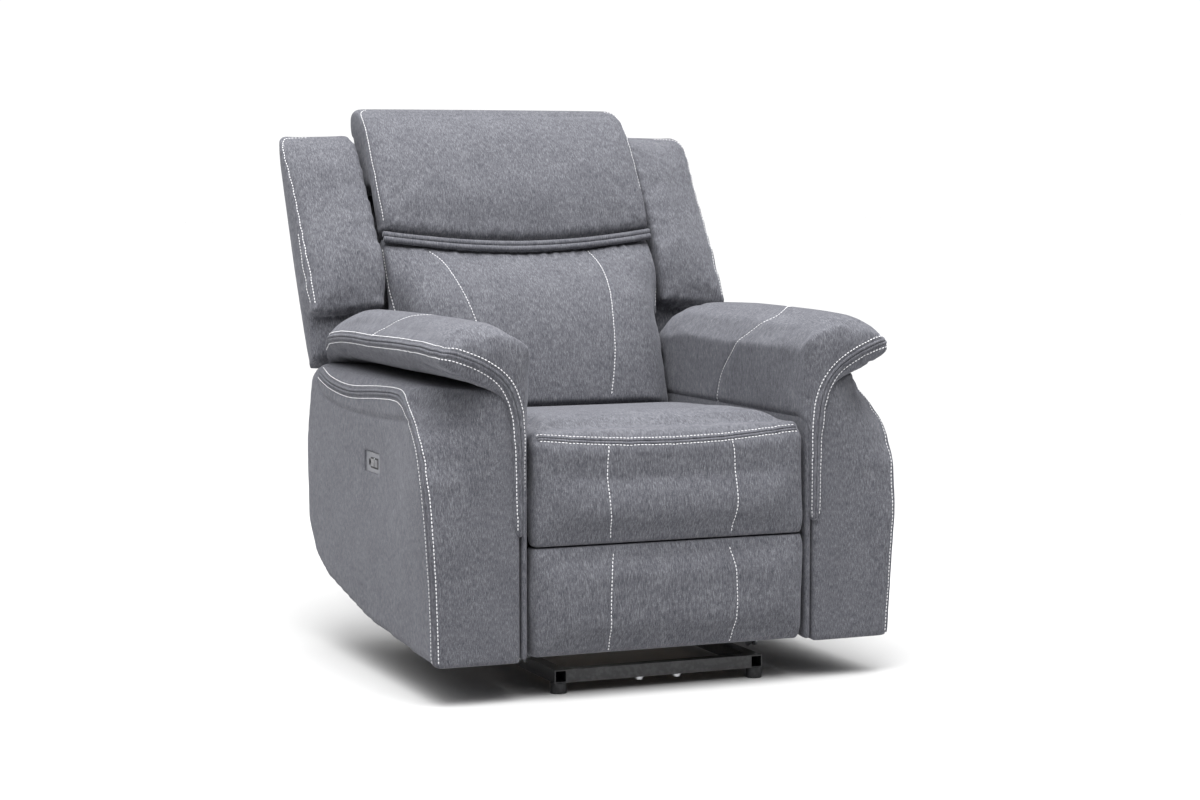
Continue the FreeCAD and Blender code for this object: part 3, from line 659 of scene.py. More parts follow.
@dataclass
class Stuffing:
    """Fills all the pads at once, with one cloth simulation each.

    Attributes:
        frames: how many frames it runs.
        pressure: the push of the filling.
        give: how far the cloth may draw in, in millimetres.
    """

    frames: int = 20
    pressure: float = 4.0
    give: float = 3.0

    def run(self, pads: Sequence[Pad]) -> None:
        """Blows the pads up, caps how far each point went and keeps them in their room.

        Args:
            pads: the pads.
        """
        before = [[v.co.copy() for v in pad.piece.data.vertices] for pad in pads]
        facing = [[v.normal.copy() for v in pad.piece.data.vertices] for pad in pads]
        for pad in pads:
            self.dress(pad)
        scene = bpy.context.scene
        for frame in range(1, self.frames + 1):
            scene.frame_set(frame)
        for pad in pads:
            settle(pad.piece)
            pad.piece.vertex_groups.clear()
        scene.frame_set(1)
        for pad, start, ways in zip(pads, before, facing):
            after = [vert.co.copy() for vert in pad.piece.data.vertices]
            total = 0.0
            for number, was in enumerate(start):
                way = ways[number]
                went = after[number] - was
                out = went.dot(way)
                if out < -self.give * MM:
                    went += way * (-self.give * MM - out)
                went *= min(1.0, pad.cap * MM / max(went.length, 1e-9))
                total += went.dot(way)
                after[number] = was + went
            log.info("%s: filled by %.1f mm on average", pad.piece.name, total / len(start) / MM)
            self.place(pad, after)
            self.ease(pad)
            self.place(pad, [pad.room(vert.co.copy()) for vert in pad.piece.data.vertices])

    def place(self, pad: Pad, spots: Sequence[Vector]) -> None:
        """Puts the pad's points at the given places."""
        pad.piece.data.vertices.foreach_set("co", [part for spot in spots for part in spot])
        pad.piece.data.update()

    def dress(self, pad: Pad) -> None:
        """Gives one pad its cloth modifier."""
        group = pad.piece.vertex_groups.new(name="held")
        for vert in pad.piece.data.vertices:
            weight = pad.held(vert.co)
            if weight > 0:
                group.add([vert.index], weight, "REPLACE")
        cloth = pad.piece.modifiers.new("filling", "CLOTH")
        rules = cloth.settings
        rules.quality = 4
        rules.mass = 0.3
        rules.tension_stiffness = rules.compression_stiffness = 12.0
        rules.shear_stiffness = 6.0
        rules.bending_stiffness = 0.4
        rules.use_pressure = True
        rules.uniform_pressure_force = self.pressure
        rules.effector_weights.gravity = 0.0
        rules.vertex_group_mass = "held"
        cloth.collision_settings.use_collision = False
        cloth.point_cache.frame_end = self.frames + 5

    def ease(self, pad: Pad) -> None:
        """Takes the sharpest creases out after the cap."""
        bm = bmesh.new()
        bm.from_mesh(pad.piece.data)
        for _ in range(2):
            bmesh.ops.smooth_vert(bm, verts=bm.verts, factor=0.5, use_axis_x=True, use_axis_y=True,
                                  use_axis_z=True)
        bm.to_mesh(pad.piece.data)
        bm.free()


# --------------------------------------------------------------------------- sewing


@dataclass
class Seam:
    """A line that is sewn on a padded piece.

    Attributes:
        path: its points, in millimetres.
        sewing: how it is joined.
        cast: the direction in which its points are dropped on the cloth, or None for the nearest.
        depth: how deep its channel is, in millimetres.
        width: how wide its channel is.
        spread: how far each row of a felled seam lies from its middle.
        pucker: the height of the gathers beside it.
        rows: which rows of stitches show, as signs.
    """

    path: Sequence[Spot]
    sewing: Sewing = Sewing.TOPSTITCHED
    cast: Spot | None = None
    depth: float = 1.6
    width: float = 5.0
    spread: float = 10.5
    pucker: float = 0.0
    rows: tuple[int, ...] = (-1, 1)


@dataclass
class SewingTable:
    """Sews seams on one piece: channels and gathers in its cloth, then welts and stitches on it.

    Attributes:
        piece: the padded piece.
        seams: its seams.
        palette: the finishes.
        pitch: the distance between stitches, in millimetres.
        stitch: a stitch's half length, half width and half height.
        seed: sets the gathers' phase.
        to_chair: takes the seams' own axes to the chair's.
    """

    piece: bpy.types.Object
    seams: Sequence[Seam]
    palette: Palette
    pitch: float = 7.0
    stitch: Spot = (2.6, 1.05, 0.80)
    seed: float = 0.0
    to_chair: Matrix = field(default_factory=lambda: Matrix.Identity(4))

    def sew(self) -> list[bpy.types.Object]:
        """Works all the seams.

        Returns:
            The new objects: the threads, and the welts if there are any.
        """
        lines = [self.laid(seam) for seam in self.seams]
        self.sink(lines)
        tree = self.surface()
        threads: list[bmesh.types.BMesh] = []
        welts: list[list[Vector]] = []
        for seam, line in zip(self.seams, lines):
            line = [self.nearest(tree, spot)[0] for spot in line]
            if seam.sewing is Sewing.TOPSTITCHED:
                threads += self.stitches(tree, line)
            elif seam.sewing is Sewing.FELLED:
                for sign in seam.rows:
                    threads += self.stitches(tree, self.beside(tree, line, sign * seam.spread))
                for sign in (-1, 1):
                    welts.append(self.beside(tree, line, sign * (ROLL + 0.1)))
        made = []
        if threads:
            made.append(as_object("thread_" + self.piece.name, threads))
            made[-1].data.materials.append(self.palette.thread)
            made[-1].data.polygons.foreach_set("use_smooth", [True] * len(made[-1].data.polygons))
        if welts:
            made.append(tube("welt_" + self.piece.name, welts, ROLL))
            made[-1].data.materials.append(self.palette.cloth)
        return made

    def surface(self) -> BVHTree:
        """Returns a search tree of the piece's surface."""
        bm = bmesh.new()
        bm.from_mesh(self.piece.data)
        tree = BVHTree.FromBMesh(bm)
        bm.free()
        return tree

    def nearest(self, tree: BVHTree, spot: Vector) -> tuple[Vector, Vector]:
        """Returns the nearest place on the cloth and its normal."""
        place, normal, _, _ = tree.find_nearest(spot)
        return place, normal

    def laid(self, seam: Seam) -> list[Vector]:
        """Draws a seam smoothly on the cloth.

        Args:
            seam: the seam.

        Returns:
            Points a few millimetres apart, on the surface.
        """
        tree = self.surface()
        points = [self.to_chair @ (Vector(spot) * MM) for spot in seam.path]
        smooth = flowing(points, FINE)
        out = []
        for spot in smooth:
            hit = None
            if seam.cast is not None:
                way = (self.to_chair.to_3x3() @ Vector(seam.cast)).normalized()
                hit = tree.ray_cast(spot - way * 0.12, way)[0]
            out.append(hit if hit is not None else self.nearest(tree, spot)[0])
        for _ in range(3):
            out = [out[0], *[(a + b * 2 + c) / 4 for a, b, c in zip(out, out[1:], out[2:])], out[-1]]
        return out

    def sink(self, lines: Sequence[Sequence[Vector]]) -> None:
        """Presses each seam's channel into the cloth and gathers the cloth beside it."""
        spots = [(spot, seam, number) for seam, line in zip(self.seams, lines) for number,
                 spot in enumerate(line)]
        finder = KDTree(len(spots))
        for index, (spot, _, _) in enumerate(spots):
            finder.insert(spot, index)
        finder.balance()
        moves = []
        for vert in self.piece.data.vertices:
            _, index, away = finder.find(vert.co)
            _, seam, number = spots[index]
            reach = seam.width * MM * (2.0 if seam.sewing is Sewing.FELLED else 1.0)
            if away > max(3.0 * reach, 0.06 if seam.pucker else 0.0):
                continue
            drop = seam.depth * MM * math.exp(-((away / reach) ** 2))
            if seam.pucker:
                wave = noise.noise(Vector((number * 0.23, self.seed, away * 18.0)))
                fade = math.exp(-((away - 0.018) / 0.022) ** 2)
                drop += seam.pucker * MM * fade * wave
            moves.append((vert.index, vert.normal * drop))
        for index, move in moves:
            self.piece.data.vertices[index].co -= move
        self.piece.data.update()

    def beside(self, tree: BVHTree, line: Sequence[Vector], shift: float) -> list[Vector]:
        """Returns the line moved sideways over the cloth by some millimetres."""
        out = []
        for number, spot in enumerate(line):
            ahead = line[min(number + 2, len(line) - 1)] - line[max(number - 2, 0)]
            _, normal = self.nearest(tree, spot)
            aside = ahead.cross(normal)
            if aside.length < 1e-9:
                continue
            out.append(self.nearest(tree, spot + aside.normalized() * shift * MM)[0])
        for _ in range(2):
            out = [out[0], *[(a + b * 2 + c) / 4 for a, b, c in zip(out, out[1:], out[2:])], out[-1]]
        return out

    def stitches(self, tree: BVHTree, line: Sequence[Vector]) -> list[bmesh.types.BMesh]:
        """Lays a row of stitches along a line on the cloth.

        Args:
            tree: the surface's search tree.
            line: the row's line.

        Returns:
            The stitches, in handfuls.
        """
        handfuls = [bmesh.new()]
        count = 0
        left = self.pitch * MM * 0.5
        for a, b in zip(line, line[1:]):
            run = (b - a).length
            while left < run:
                spot = a.lerp(b, left / run)
                place, normal = self.nearest(tree, spot)
                ahead = (b - a).normalized()
                aside = normal.cross(ahead).normalized()
                up = ahead.cross(aside).normalized()
                size = [part * MM for part in self.stitch]
                turn = Matrix((ahead * size[0], aside * size[1], up * size[2])).transposed().to_4x4()
                turn.translation = place + normal * size[2] * 0.45
                count += 1
                if count % 24 == 0:
                    handfuls.append(bmesh.new())
                bmesh.ops.create_uvsphere(handfuls[-1], u_segments=6, v_segments=5, radius=1.0,
                                          matrix=turn @ Matrix.Rotation(math.pi / 2, 4, "Y"))
                left += self.pitch * MM
            left -= run
        return handfuls


def flowing(points: Sequence[Vector], step: float) -> list[Vector]:
    """Draws a smooth line through points.

    Args:
        points: the points, in metres.
        step: the distance between the drawn points, in millimetres.

    Returns:
        The drawn points.
    """
    ends = [points[0] * 2 - points[1], *points, points[-1] * 2 - points[-2]]
    out = []
    for a, b, c, d in zip(ends, ends[1:], ends[2:], ends[3:]):
        count = max(1, round((c - b).length / (step * MM)))
        for number in range(count):
            t = number / count
            out.append(0.5 * (2 * b + (c - a) * t + (2 * a - 5 * b + 4 * c - d) * t * t
                              + (3 * b - a - 3 * c + d) * t ** 3))
    out.append(points[-1].copy())
    return out


def tube(name: str, lines: Sequence[Sequence[Vector]], radius: float) -> bpy.types.Object:
    """Makes round welts along lines.

    Args:
        name: the object's name.
        lines: the welts' middle lines.
        radius: their radius, in millimetres.

    Returns:
        One mesh object of all of them.
    """
    curve = bpy.data.curves.new(name, "CURVE")
    curve.dimensions = "3D"
    curve.bevel_depth = radius * MM
    curve.bevel_resolution = 2
    curve.use_fill_caps = True
    for line in lines:
        run = curve.splines.new("POLY")
        run.points.add(len(line) - 1)
        for point, spot in zip(run.points, line):
            point.co = (*spot, 1.0)
    holder = bpy.data.objects.new(name + "_line", curve)
    bpy.context.scene.collection.objects.link(holder)
    graph = bpy.context.evaluated_depsgraph_get()
    mesh = bpy.data.meshes.new_from_object(holder.evaluated_get(graph))
    bpy.data.objects.remove(holder)
    bpy.data.curves.remove(curve)
    mesh.name = name
    mesh.polygons.foreach_set("use_smooth", [True] * len(mesh.polygons))
    piece = bpy.data.objects.new(name, mesh)
    bpy.context.scene.collection.objects.link(piece)
    return piece


# --------------------------------------------------------------------------- sub-assemblies


@dataclass
class Upholstery:
    """A padded sub-assembly: it cuts a blank, is filled, then is sewn and dressed.

    Attributes:
        palette: the finishes.
        body: the body that it rides on.
        nodes: the nodes that it stands for.
        name: the piece's name.
        voxel: the size of its faces, in millimetres.
        pad: the piece while it is made.
    """

    palette: Palette
    body: str
    nodes: tuple[str, ...]
    name: str
    voxel: float = 7.0
    pad: Pad | None = None

    def blank(self) -> Pad:
        """Returns the unfilled piece."""
        raise NotImplementedError

    def seams(self) -> list[Seam]:
        """Returns the piece's seams."""
        return []

    def axes(self) -> Matrix:
        """Returns the matrix from the seams' axes to the chair's."""
        return Matrix.Identity(4)

    def cut(self) -> Pad:
        """Cuts the blank and welds its skin."""
        self.pad = self.blank()
        return self.pad

    def finish(self) -> None:
        """Refines the filled piece, sews it, and hands it to the frame."""
        piece = self.pad.piece
        refine(piece)
        piece.data.materials.clear()
        piece.data.materials.append(self.palette.cloth)
        seams = self.seams()
        made = []
        if seams:
            table = SewingTable(piece, seams, self.palette, seed=len(self.name) * 1.7,
                                to_chair=self.axes())
            made = table.sew()
        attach(piece, self.body)
        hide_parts(*self.nodes)
        for extra in made:
            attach(extra, self.body)
        log.info("%s: %d faces, %d sewn pieces", self.name, len(piece.data.polygons), len(made))


@dataclass
class SeatPillow(Upholstery):
    """The seat: a crowned top over a boxed front with a curved welt between them."""

    half: float = 271.0
    edge: float = SEAT_SIDE

    def blank(self) -> Pad:
        """Returns the seat's blank."""
        outline = [(-502, 276), (-508, 312), (-508, 462), (-488, 486), (-340, 487), (30, 464), (50, 448),
                   (50, 342), (-450, 342), (-460, 300), (-468, 276)]
        piece = as_object(self.name, [prism(outline, "x", -self.half, self.half)])
        weld(piece, self.voxel, 5)

        def held(co: Vector) -> float:
            """Holds the underside, the rear and the front's lower edge."""
            return 1.0 if (co.z < 0.350 and co.y > -0.44) or co.y > 0.035 or co.z < 0.308 else 0.0

        def room(co: Vector) -> Vector:
            """Keeps the seat between the arms, over the deck and in front of the back."""
            co.x = max(-self.edge * MM, min(self.edge * MM, co.x))
            co.y = max(-0.527, min(0.057, co.y))
            floor = 0.336 if co.y > -0.452 else 0.279
            co.z = max(floor, co.z)
            sag = math.exp(-((co.y + 0.51) / 0.07) ** 2) * (1 - (co.x / 0.27) ** 2)
            if co.z > 0.44:
                co.z -= 0.008 * sag * min(1.0, (co.z - 0.44) / 0.03)
            return co

        return Pad(piece, 20.0, held, room, 0.7)

    def seams(self) -> list[Seam]:
        """Returns the welt across the front and the two stitched joins down it."""
        welt = [(-268, -508, 494), (-200, -514, 488), (-100, -520, 482), (0, -522, 480),
                (100, -520, 482),
                (200, -514, 488), (268, -508, 494)]
        joins = [[(sign * 122, -530, 470), (sign * 127, -530, 420), (sign * 127, -530, 350),
                  (sign * 121, -525, 292)]
                 for sign in (-1, 1)]
        return [Seam(welt, Sewing.FELLED, spread=7.5, depth=1.0, pucker=2.2, width=4.0),
                *[Seam(path, cast=(0, 1, 0), depth=1.8) for path in joins]]


@dataclass
class FootrestPillow(Upholstery):
    """The padded footrest under the seat front."""

    half: float = 271.0
    edge: float = SEAT_SIDE

    def blank(self) -> Pad:
        """Returns the footrest's blank."""
        outline = [(-494, 74), (-506, 96), (-509, 150), (-508, 236), (-506, 266), (-500, 280),
                   (-462, 280),
                   (-446, 243), (-444, 74)]
        piece = as_object(self.name, [prism(outline, "x", -self.half, self.half)])
        weld(piece, self.voxel, 4)

        def held(co: Vector) -> float:
            """Holds the rear against its board and the upper edge."""
            return 1.0 if co.y > -0.462 or co.z > 0.255 else 0.0

        def room(co: Vector) -> Vector:
            """Keeps the pad between the arms and under the seat."""
            co.x = max(-self.edge * MM, min(self.edge * MM, co.x))
            co.y = max(-0.524, min(-0.440, co.y))
            co.z = max(0.064, min(0.2765, co.z))
            return co

        return Pad(piece, 12.0, held, room, 0.6)

    def seams(self) -> list[Seam]:
        """Returns the two stitched joins down the front."""
        return [Seam([(sign * 116, -530, 262), (sign * 124, -530, 220), (sign * 126, -530, 150),
                      (sign * 122, -530, 84)], cast=(0, 1, 0), depth=1.6) for sign in (-1, 1)]


@dataclass
class BackPillow(Upholstery):
    """A cushion of the back, drawn in the back's own upright axes and then leaned."""

    sag: float = 28.0
    wide: float = 296.0

    def axes(self) -> Matrix:
        """Returns the back's lean."""
        return leaning()

    def hang(self, x: float) -> float:
        """Returns how far the line between head and lumbar hangs at a distance from the middle."""
        return self.sag * MM * max(0.0, 1.0 - (x / MM / self.wide) ** 2)

    def leaned(self, piece: bpy.types.Object, cap: float, fill: float, held: Callable[[Vector], float],
               room: Callable[[Vector], Vector]) -> Pad:
        """Leans a blank and its rules.

        Args:
            piece: the blank, in the back's own axes.
            cap: how far the filling may push it.
            fill: how full it is.
            held: which points are held, in the back's own axes.
            room: the room that it has, in the back's own axes.

        Returns:
            The pad, in the chair's axes.
        """
        way = leaning()
        back = way.inverted()
        turned(piece, way)
        return Pad(piece, cap, lambda co: held(back @ co), lambda co: way @ room(back @ co), fill)


@dataclass
class HeadPillow(BackPillow):
    """The head pillow, which overhangs the piping below it."""

    half: float = 296.0

    def blank(self) -> Pad:
        """Returns the head pillow's blank."""
        outline = [(-67, 380), (-100, 379), (-121, 394), (-124, 422), (-119, 470), (-108, 540),
                   (-93, 604),
                   (-76, 648), (-52, 678), (-30, 693), (-12, 698), (3, 694), (13, 672), (13, 642),
                   (1, 642),
                   (-4, 660), (-60, 663), (-67, 656)]
        cheek = [(-100, 500), (-90, 600), (-72, 646), (-50, 674), (-30, 689), (-12, 694), (1, 690),
                 (1, 500)]
        solid = prism(outline, "x", -self.half, self.half)
        cheeks = [prism(cheek, "x", *ends) for ends in ((-self.half, -268), (268, self.half))]
        for shell in (solid, *cheeks):
            soften(shell, lambda a, b: abs(a.x - b.x) < 1e-6 and min(a.z, b.z) > 0.668
                   and abs(a.x) > 0.29, 26, 6)
        piece = as_object(self.name, [solid, *cheeks])
        weld(piece, self.voxel, 5)

        def hung(co: Vector) -> Vector:
            """Lets the lower edge hang towards its middle."""
            co.z -= self.hang(co.x) * along(co.z, [(0.385, 1.0), (0.480, 0.0)])
            return co

        shaped(piece, hung)

        def held(co: Vector) -> float:
            """Holds the rear and the lower edge."""
            low = co.z + self.hang(co.x) < 0.386
            return 1.0 if (co.y > -0.073 and co.z < 0.671) or low or co.y > 0.0 else 0.0

        def room(co: Vector) -> Vector:
            """Keeps the pillow above the piping and in front of the frame."""
            co.x = max(-0.303, min(0.303, co.x))
            co.z = max(0.372 - self.hang(co.x), min(0.706, co.z))
            if co.z < 0.648 and abs(co.x) < 0.262 and co.y < -0.02:
                co.y = min(-0.064, co.y)
            co.y = min(0.004 if co.z < 0.636 else 0.016, co.y)
            return co

        return self.leaned(piece, 22.0, 0.8, held, room)

    def seams(self) -> list[Seam]:
        """Returns the stitched side edges and the gathered lower edge."""
        sides = [Seam([(sign * 270, -44, 690), (sign * 292, -62, 672), (sign * 300, -88, 628),
                       (sign * 301, -104, 530), (sign * 300, -112, 440), (sign * 298, -112, 402)],
                       depth=1.2)
                 for sign in (-1, 1)]
        lower = Seam([(-285, -104, 379), (-150, -107, 362), (0, -108, 354), (150, -107, 362),
                      (285, -104, 379)],
                     Sewing.PLAIN, depth=2.0, pucker=5.0)
        return [*sides, lower]


@dataclass
class LumbarPillow(BackPillow):
    """The lumbar cushion with two curved stitched channels."""

    half: float = 270.0

    def blank(self) -> Pad:
        """Returns the lumbar cushion's blank."""
        lower = [(-160, -26), (-177, 110), (-172, 205), (-120, 330), (-103, 357), (-86, 372), (-70, 374),
                 (-70, -30)]
        upper = [(-150, 196), (-146, 240), (-118, 330), (-103, 357), (-86, 372), (-70, 374),
                 (-70, 196)]
        piece = as_object(self.name, [prism(lower, "x", -self.half, self.half),
                                      prism(upper, "x", -self.wide, self.wide)])
        weld(piece, self.voxel, 6)

        def hung(co: Vector) -> Vector:
            """Lets the upper edge hang towards its middle and rounds the sides back."""
            side = max(0.0, (abs(co.x) - 0.185) / 0.085)
            fore = max(0.0, min(1.0, (-0.075 - co.y) / 0.06))
            co.y += fore * side ** 2 * along(co.z, [(0.18, 0.048), (0.30, 0.012)])
            co.z -= self.hang(co.x) * along(co.z, [(0.255, 0.0), (0.350, 1.0)])
            return co

        shaped(piece, hung)

        def held(co: Vector) -> float:
            """Holds the rear, the upper edge and the foot."""
            return 1.0 if co.y > -0.078 or co.z + self.hang(co.x) > 0.350 or co.z < -0.018 else 0.0

        def room(co: Vector) -> Vector:
            """Keeps the cushion between the arms below and the wings above."""
            side = along(co.z, [(0.180, 0.2735), (0.205, 0.301)])
            co.x = max(-side, min(side, co.x))
            co.z = max(-0.034, min(0.376 - self.hang(co.x), co.z))
            co.y = min(-0.066, co.y)
            return co

        return self.leaned(piece, 22.0, 0.6, held, room)

    def seams(self) -> list[Seam]:
        """Returns the side edges, the two curved channels and the gathered top."""
        left = [(-203, -110, 334), (-183, -140, 300), (-167, -180, 230), (-152, -190, 155),
                (-141, -190, 80),
                (-130, -180, -10)]
        right = [(148, -110, 332), (157, -140, 290), (157, -180, 230), (149, -190, 160), (139, -190, 72),
                 (122, -180, -10)]
        channels = [Seam(path, cast=(0, 1, 0), depth=2.6, width=7.0) for path in (left, right)]
        sides = [Seam([(sign * 300, -86, 348), (sign * 300, -90, 290), (sign * 300, -94, 208)],
                      depth=1.0)
                 for sign in (-1, 1)]
        top = Seam([(-285, -100, 358), (-150, -102, 339), (0, -104, 332), (150, -102, 339),
                    (285, -100, 358)],
                   Sewing.PLAIN, depth=2.0, pucker=4.5)
        return [*channels, *sides, top]


@dataclass
class BackCover(BackPillow):
    """The outside back: a flat cover with a little crown, narrower below the arms."""

    def blank(self) -> Pad:
        """Returns the outside back's blank."""
        tiers = [(-297, 297, 138, 630), (-267, 267, 30, 160), (-210, 210, -106, 60)]
        solids = [prism([(left, low), (right, low), (right, high), (left, high)], "y", 10, 30)
                  for left, right, low, high in tiers]
        piece = as_object(self.name, solids)
        weld(piece, 8.0, 4)

        def held(co: Vector) -> float:
            """Holds the inside."""
            return 1.0 if co.y < 0.017 else 0.0

        def room(co: Vector) -> Vector:
            """Keeps the cover behind the frame and between the wings."""
            co.y = max(0.0055, min(0.039, co.y))
            side = along(co.z, [(0.030, 0.2135), (0.037, 0.2135), (0.040, 0.2705), (0.130, 0.2705),
                                (0.137, 0.2995)])
            co.x = max(-side, min(side, co.x))
            co.z = max(-0.1095, co.z)
            return co

        return self.leaned(piece, 7.0, 0.3, held, room)

    def seams(self) -> list[Seam]:
        """Returns the edge stitching and one join across the cover."""
        return [Seam([(-292, 35, 150), (-292, 35, 620)], cast=(0, -1, 0), depth=0.8),
                Seam([(292, 35, 150), (292, 35, 620)], cast=(0, -1, 0), depth=0.8),
                Seam([(-290, 35, 380), (0, 35, 376), (290, 35, 380)], cast=(0, -1, 0), depth=1.4)]


@dataclass
class WingPillow(BackPillow):
    """A wing beside the head: a padded face and a plain side behind its stitched edge."""

    side: Side = Side.RIGHT

    def axes(self) -> Matrix:
        """Returns the back's lean, mirrored for the left wing."""
        return leaning() @ Matrix.Scale(self.side.value, 4, (1, 0, 0))

    def blank(self) -> Pad:
        """Returns the wing's blank."""
        outline = [(-84, 214), (-72, 341), (-48, 467), (-24, 606), (-10, 638), (10, 651), (22, 648),
                   (29, 633),
                   (29, 130), (0, 137), (-16, 138), (-44, 220)]
        solid = prism(outline, "x", 306, 449)
        soften(solid, lambda a, b: abs(a.x - b.x) < 1e-6 and min(a.z, b.z) > 0.61
               and min(a.x, b.x) > 0.4, 22, 5)
        piece = as_object(self.name, [solid])
        weld(piece, self.voxel, 4)

        def padded(co: Vector) -> Vector:
            """Brings the face forward beside the cushions and crowns the top."""
            face = along(co.z, [(0.214, -0.084), (0.341, -0.072), (0.467, -0.048), (0.600, -0.024)])
            ahead = max(0.0, min(1.0, (0.029 - co.y) / (0.029 - face)))
            co.x += 0.013 * ahead * max(0.0, (co.x - 0.36) / 0.089)
            inner = max(0.0, 1.0 - (co.x - 0.306) / 0.125)
            co.y -= 0.040 * ahead ** 2 * inner * along(co.z, [(0.2, 0.4), (0.32, 1.3), (0.50, 1.25),
                                                              (0.60, 0.9), (0.65, 0.4)])
            return co

        shaped(piece, padded)
        if self.side is Side.LEFT:
            turned(piece, Matrix.Scale(-1, 4, (1, 0, 0)))

        def held(co: Vector) -> float:
            """Holds the rear."""
            return 1.0 if co.y > 0.020 else 0.0

        def room(co: Vector) -> Vector:
            """Keeps the wing clear of the cushions, of the pin's round and of the arm."""
            sign = self.side.value
            co.x = sign * max(0.3045, min(0.465, sign * co.x))
            co.y = min(0.034, co.y)
            reach = math.hypot(co.y, co.z)
            if reach < PIN_ROUND:
                co.y *= PIN_ROUND / reach
                co.z *= PIN_ROUND / reach
            return co

        return self.leaned(piece, 13.0, 0.6, held, room)

    def seams(self) -> list[Seam]:
        """Returns the stitched outer edge, its second row, and the join of the side cover."""
        edge = [(396, -16, 652), (438, -18, 648), (460, -26, 612), (461, -46, 520), (460, -64, 420),
                (458, -78, 330), (455, -86, 232)]
        second = [(464, -50, 400), (463, -58, 320), (461, -66, 240)]
        rear = [(452, 23, 150), (452, 23, 380), (450, 22, 628)]
        foot = [(320, -88, 222), (380, -92, 218), (440, -86, 222)]
        return [Seam(edge, depth=1.6), Seam(second, depth=0.8), Seam(rear, Sewing.PLAIN, depth=1.6),
                Seam(foot, Sewing.PLAIN, depth=0.5, pucker=5.0)]


@dataclass
class ArmPillow(Upholstery):
    """The pillow arm: it rolls over the arm's top, noses down at the front and ends in a tail."""

    side: Side = Side.RIGHT

    def axes(self) -> Matrix:
        """Returns the mirror for the left arm."""
        return Matrix.Scale(self.side.value, 4, (1, 0, 0))

    def blank(self) -> Pad:
        """Returns the pillow arm's blank."""
        nose = [(282, 300), (282, 640), (300, 656), (350, 666), (415, 648), (444, 630), (444, 613),
                (424, 601),
                (390, 580), (350, 566), (324, 548), (312, 516), (307, 460), (305, 330), (300, 306),
                (290, 295)]
        roll = [(282, 464), (282, 606), (286, 638), (306, 664), (350, 681), (404, 672), (438, 652),
                (452, 632),
                (450, 614), (430, 600), (390, 580), (345, 570), (300, 566), (292, 464)]
        front = prism(nose, "y", -512, -486)
        body = prism(roll, "y", -440, 100)
        pull_on(body, 1, -1, 36, (340, 0, 580), (1.0, 1.0, 0.97))
        pull_on(body, 1, -1, 24, (340, 0, 580), (0.985, 1.0, 0.86))
        pull_on(body, 1, 1, 80, (300, 0, 470), (0.99, 1.0, 0.94))
        pull_on(body, 1, 1, 40, (290, 0, 470), (0.96, 1.0, 0.86))
        pull_on(body, 1, 1, 26, (290, 0, 470), (0.90, 1.0, 0.74))
        piece = as_object(self.name, [front, body])
        weld(piece, self.voxel, 5)
        if self.side is Side.LEFT:
            turned(piece, self.axes())

        def held(co: Vector) -> float:
            """Holds the underside and the rear of the inner face."""
            inner = abs(co.x)
            if co.z < 0.49 and co.y > -0.47:
                return 1.0
            return 1.0 if 0.292 < inner < 0.40 and co.z < 0.586 and co.y > -0.47 else 0.0

        def room(co: Vector) -> Vector:
            """Keeps the pillow clear of the seat and above the arm."""
            sign = self.side.value
            co.x = sign * max(0.2748, min(0.4635, sign * co.x))
            co.y = max(-0.525, min(0.255, co.y))
            return co

        return Pad(piece, 13.0, held, room, 0.7)

    def seams(self) -> list[Seam]:
        """Returns the felled band, the cross seam, and the patch and tail joins."""
        band = [(455, 236, 608), (459, 160, 622), (461, 60, 630), (461, -80, 634), (461, -240, 639),
                (461, -380, 642), (460, -450, 641), (450, -505, 640), (430, -516, 634), (400, -518, 623),
                (370, -518, 610), (340, -518, 590), (318, -518, 564), (305, -518, 534), (298, -518, 500),
                (294, -518, 440), (292, -518, 370), (291, -518, 304)]
        cross = [(455, -100, 650), (440, -128, 664), (400, -190, 682), (350, -250, 692),
                 (310, -262, 672),
                 (285, -225, 640), (277, -180, 600), (276, -130, 552), (276, -108, 505),
                 (276, -103, 472)]
        patch = [(460, -330, 618), (456, -352, 604), (440, -400, 597), (420, -470, 592),
                 (405, -505, 594),
                 (392, -518, 606)]
        tail = [(322, -515, 552), (300, -520, 546)]
        return [Seam(band, Sewing.FELLED, depth=0.6, width=7.0, spread=11.5, pucker=0.7),
                Seam(cross, depth=1.2), Seam(patch, Sewing.PLAIN, depth=2.4, width=4.0),
                Seam(tail, Sewing.PLAIN, depth=1.6, width=3.5)]


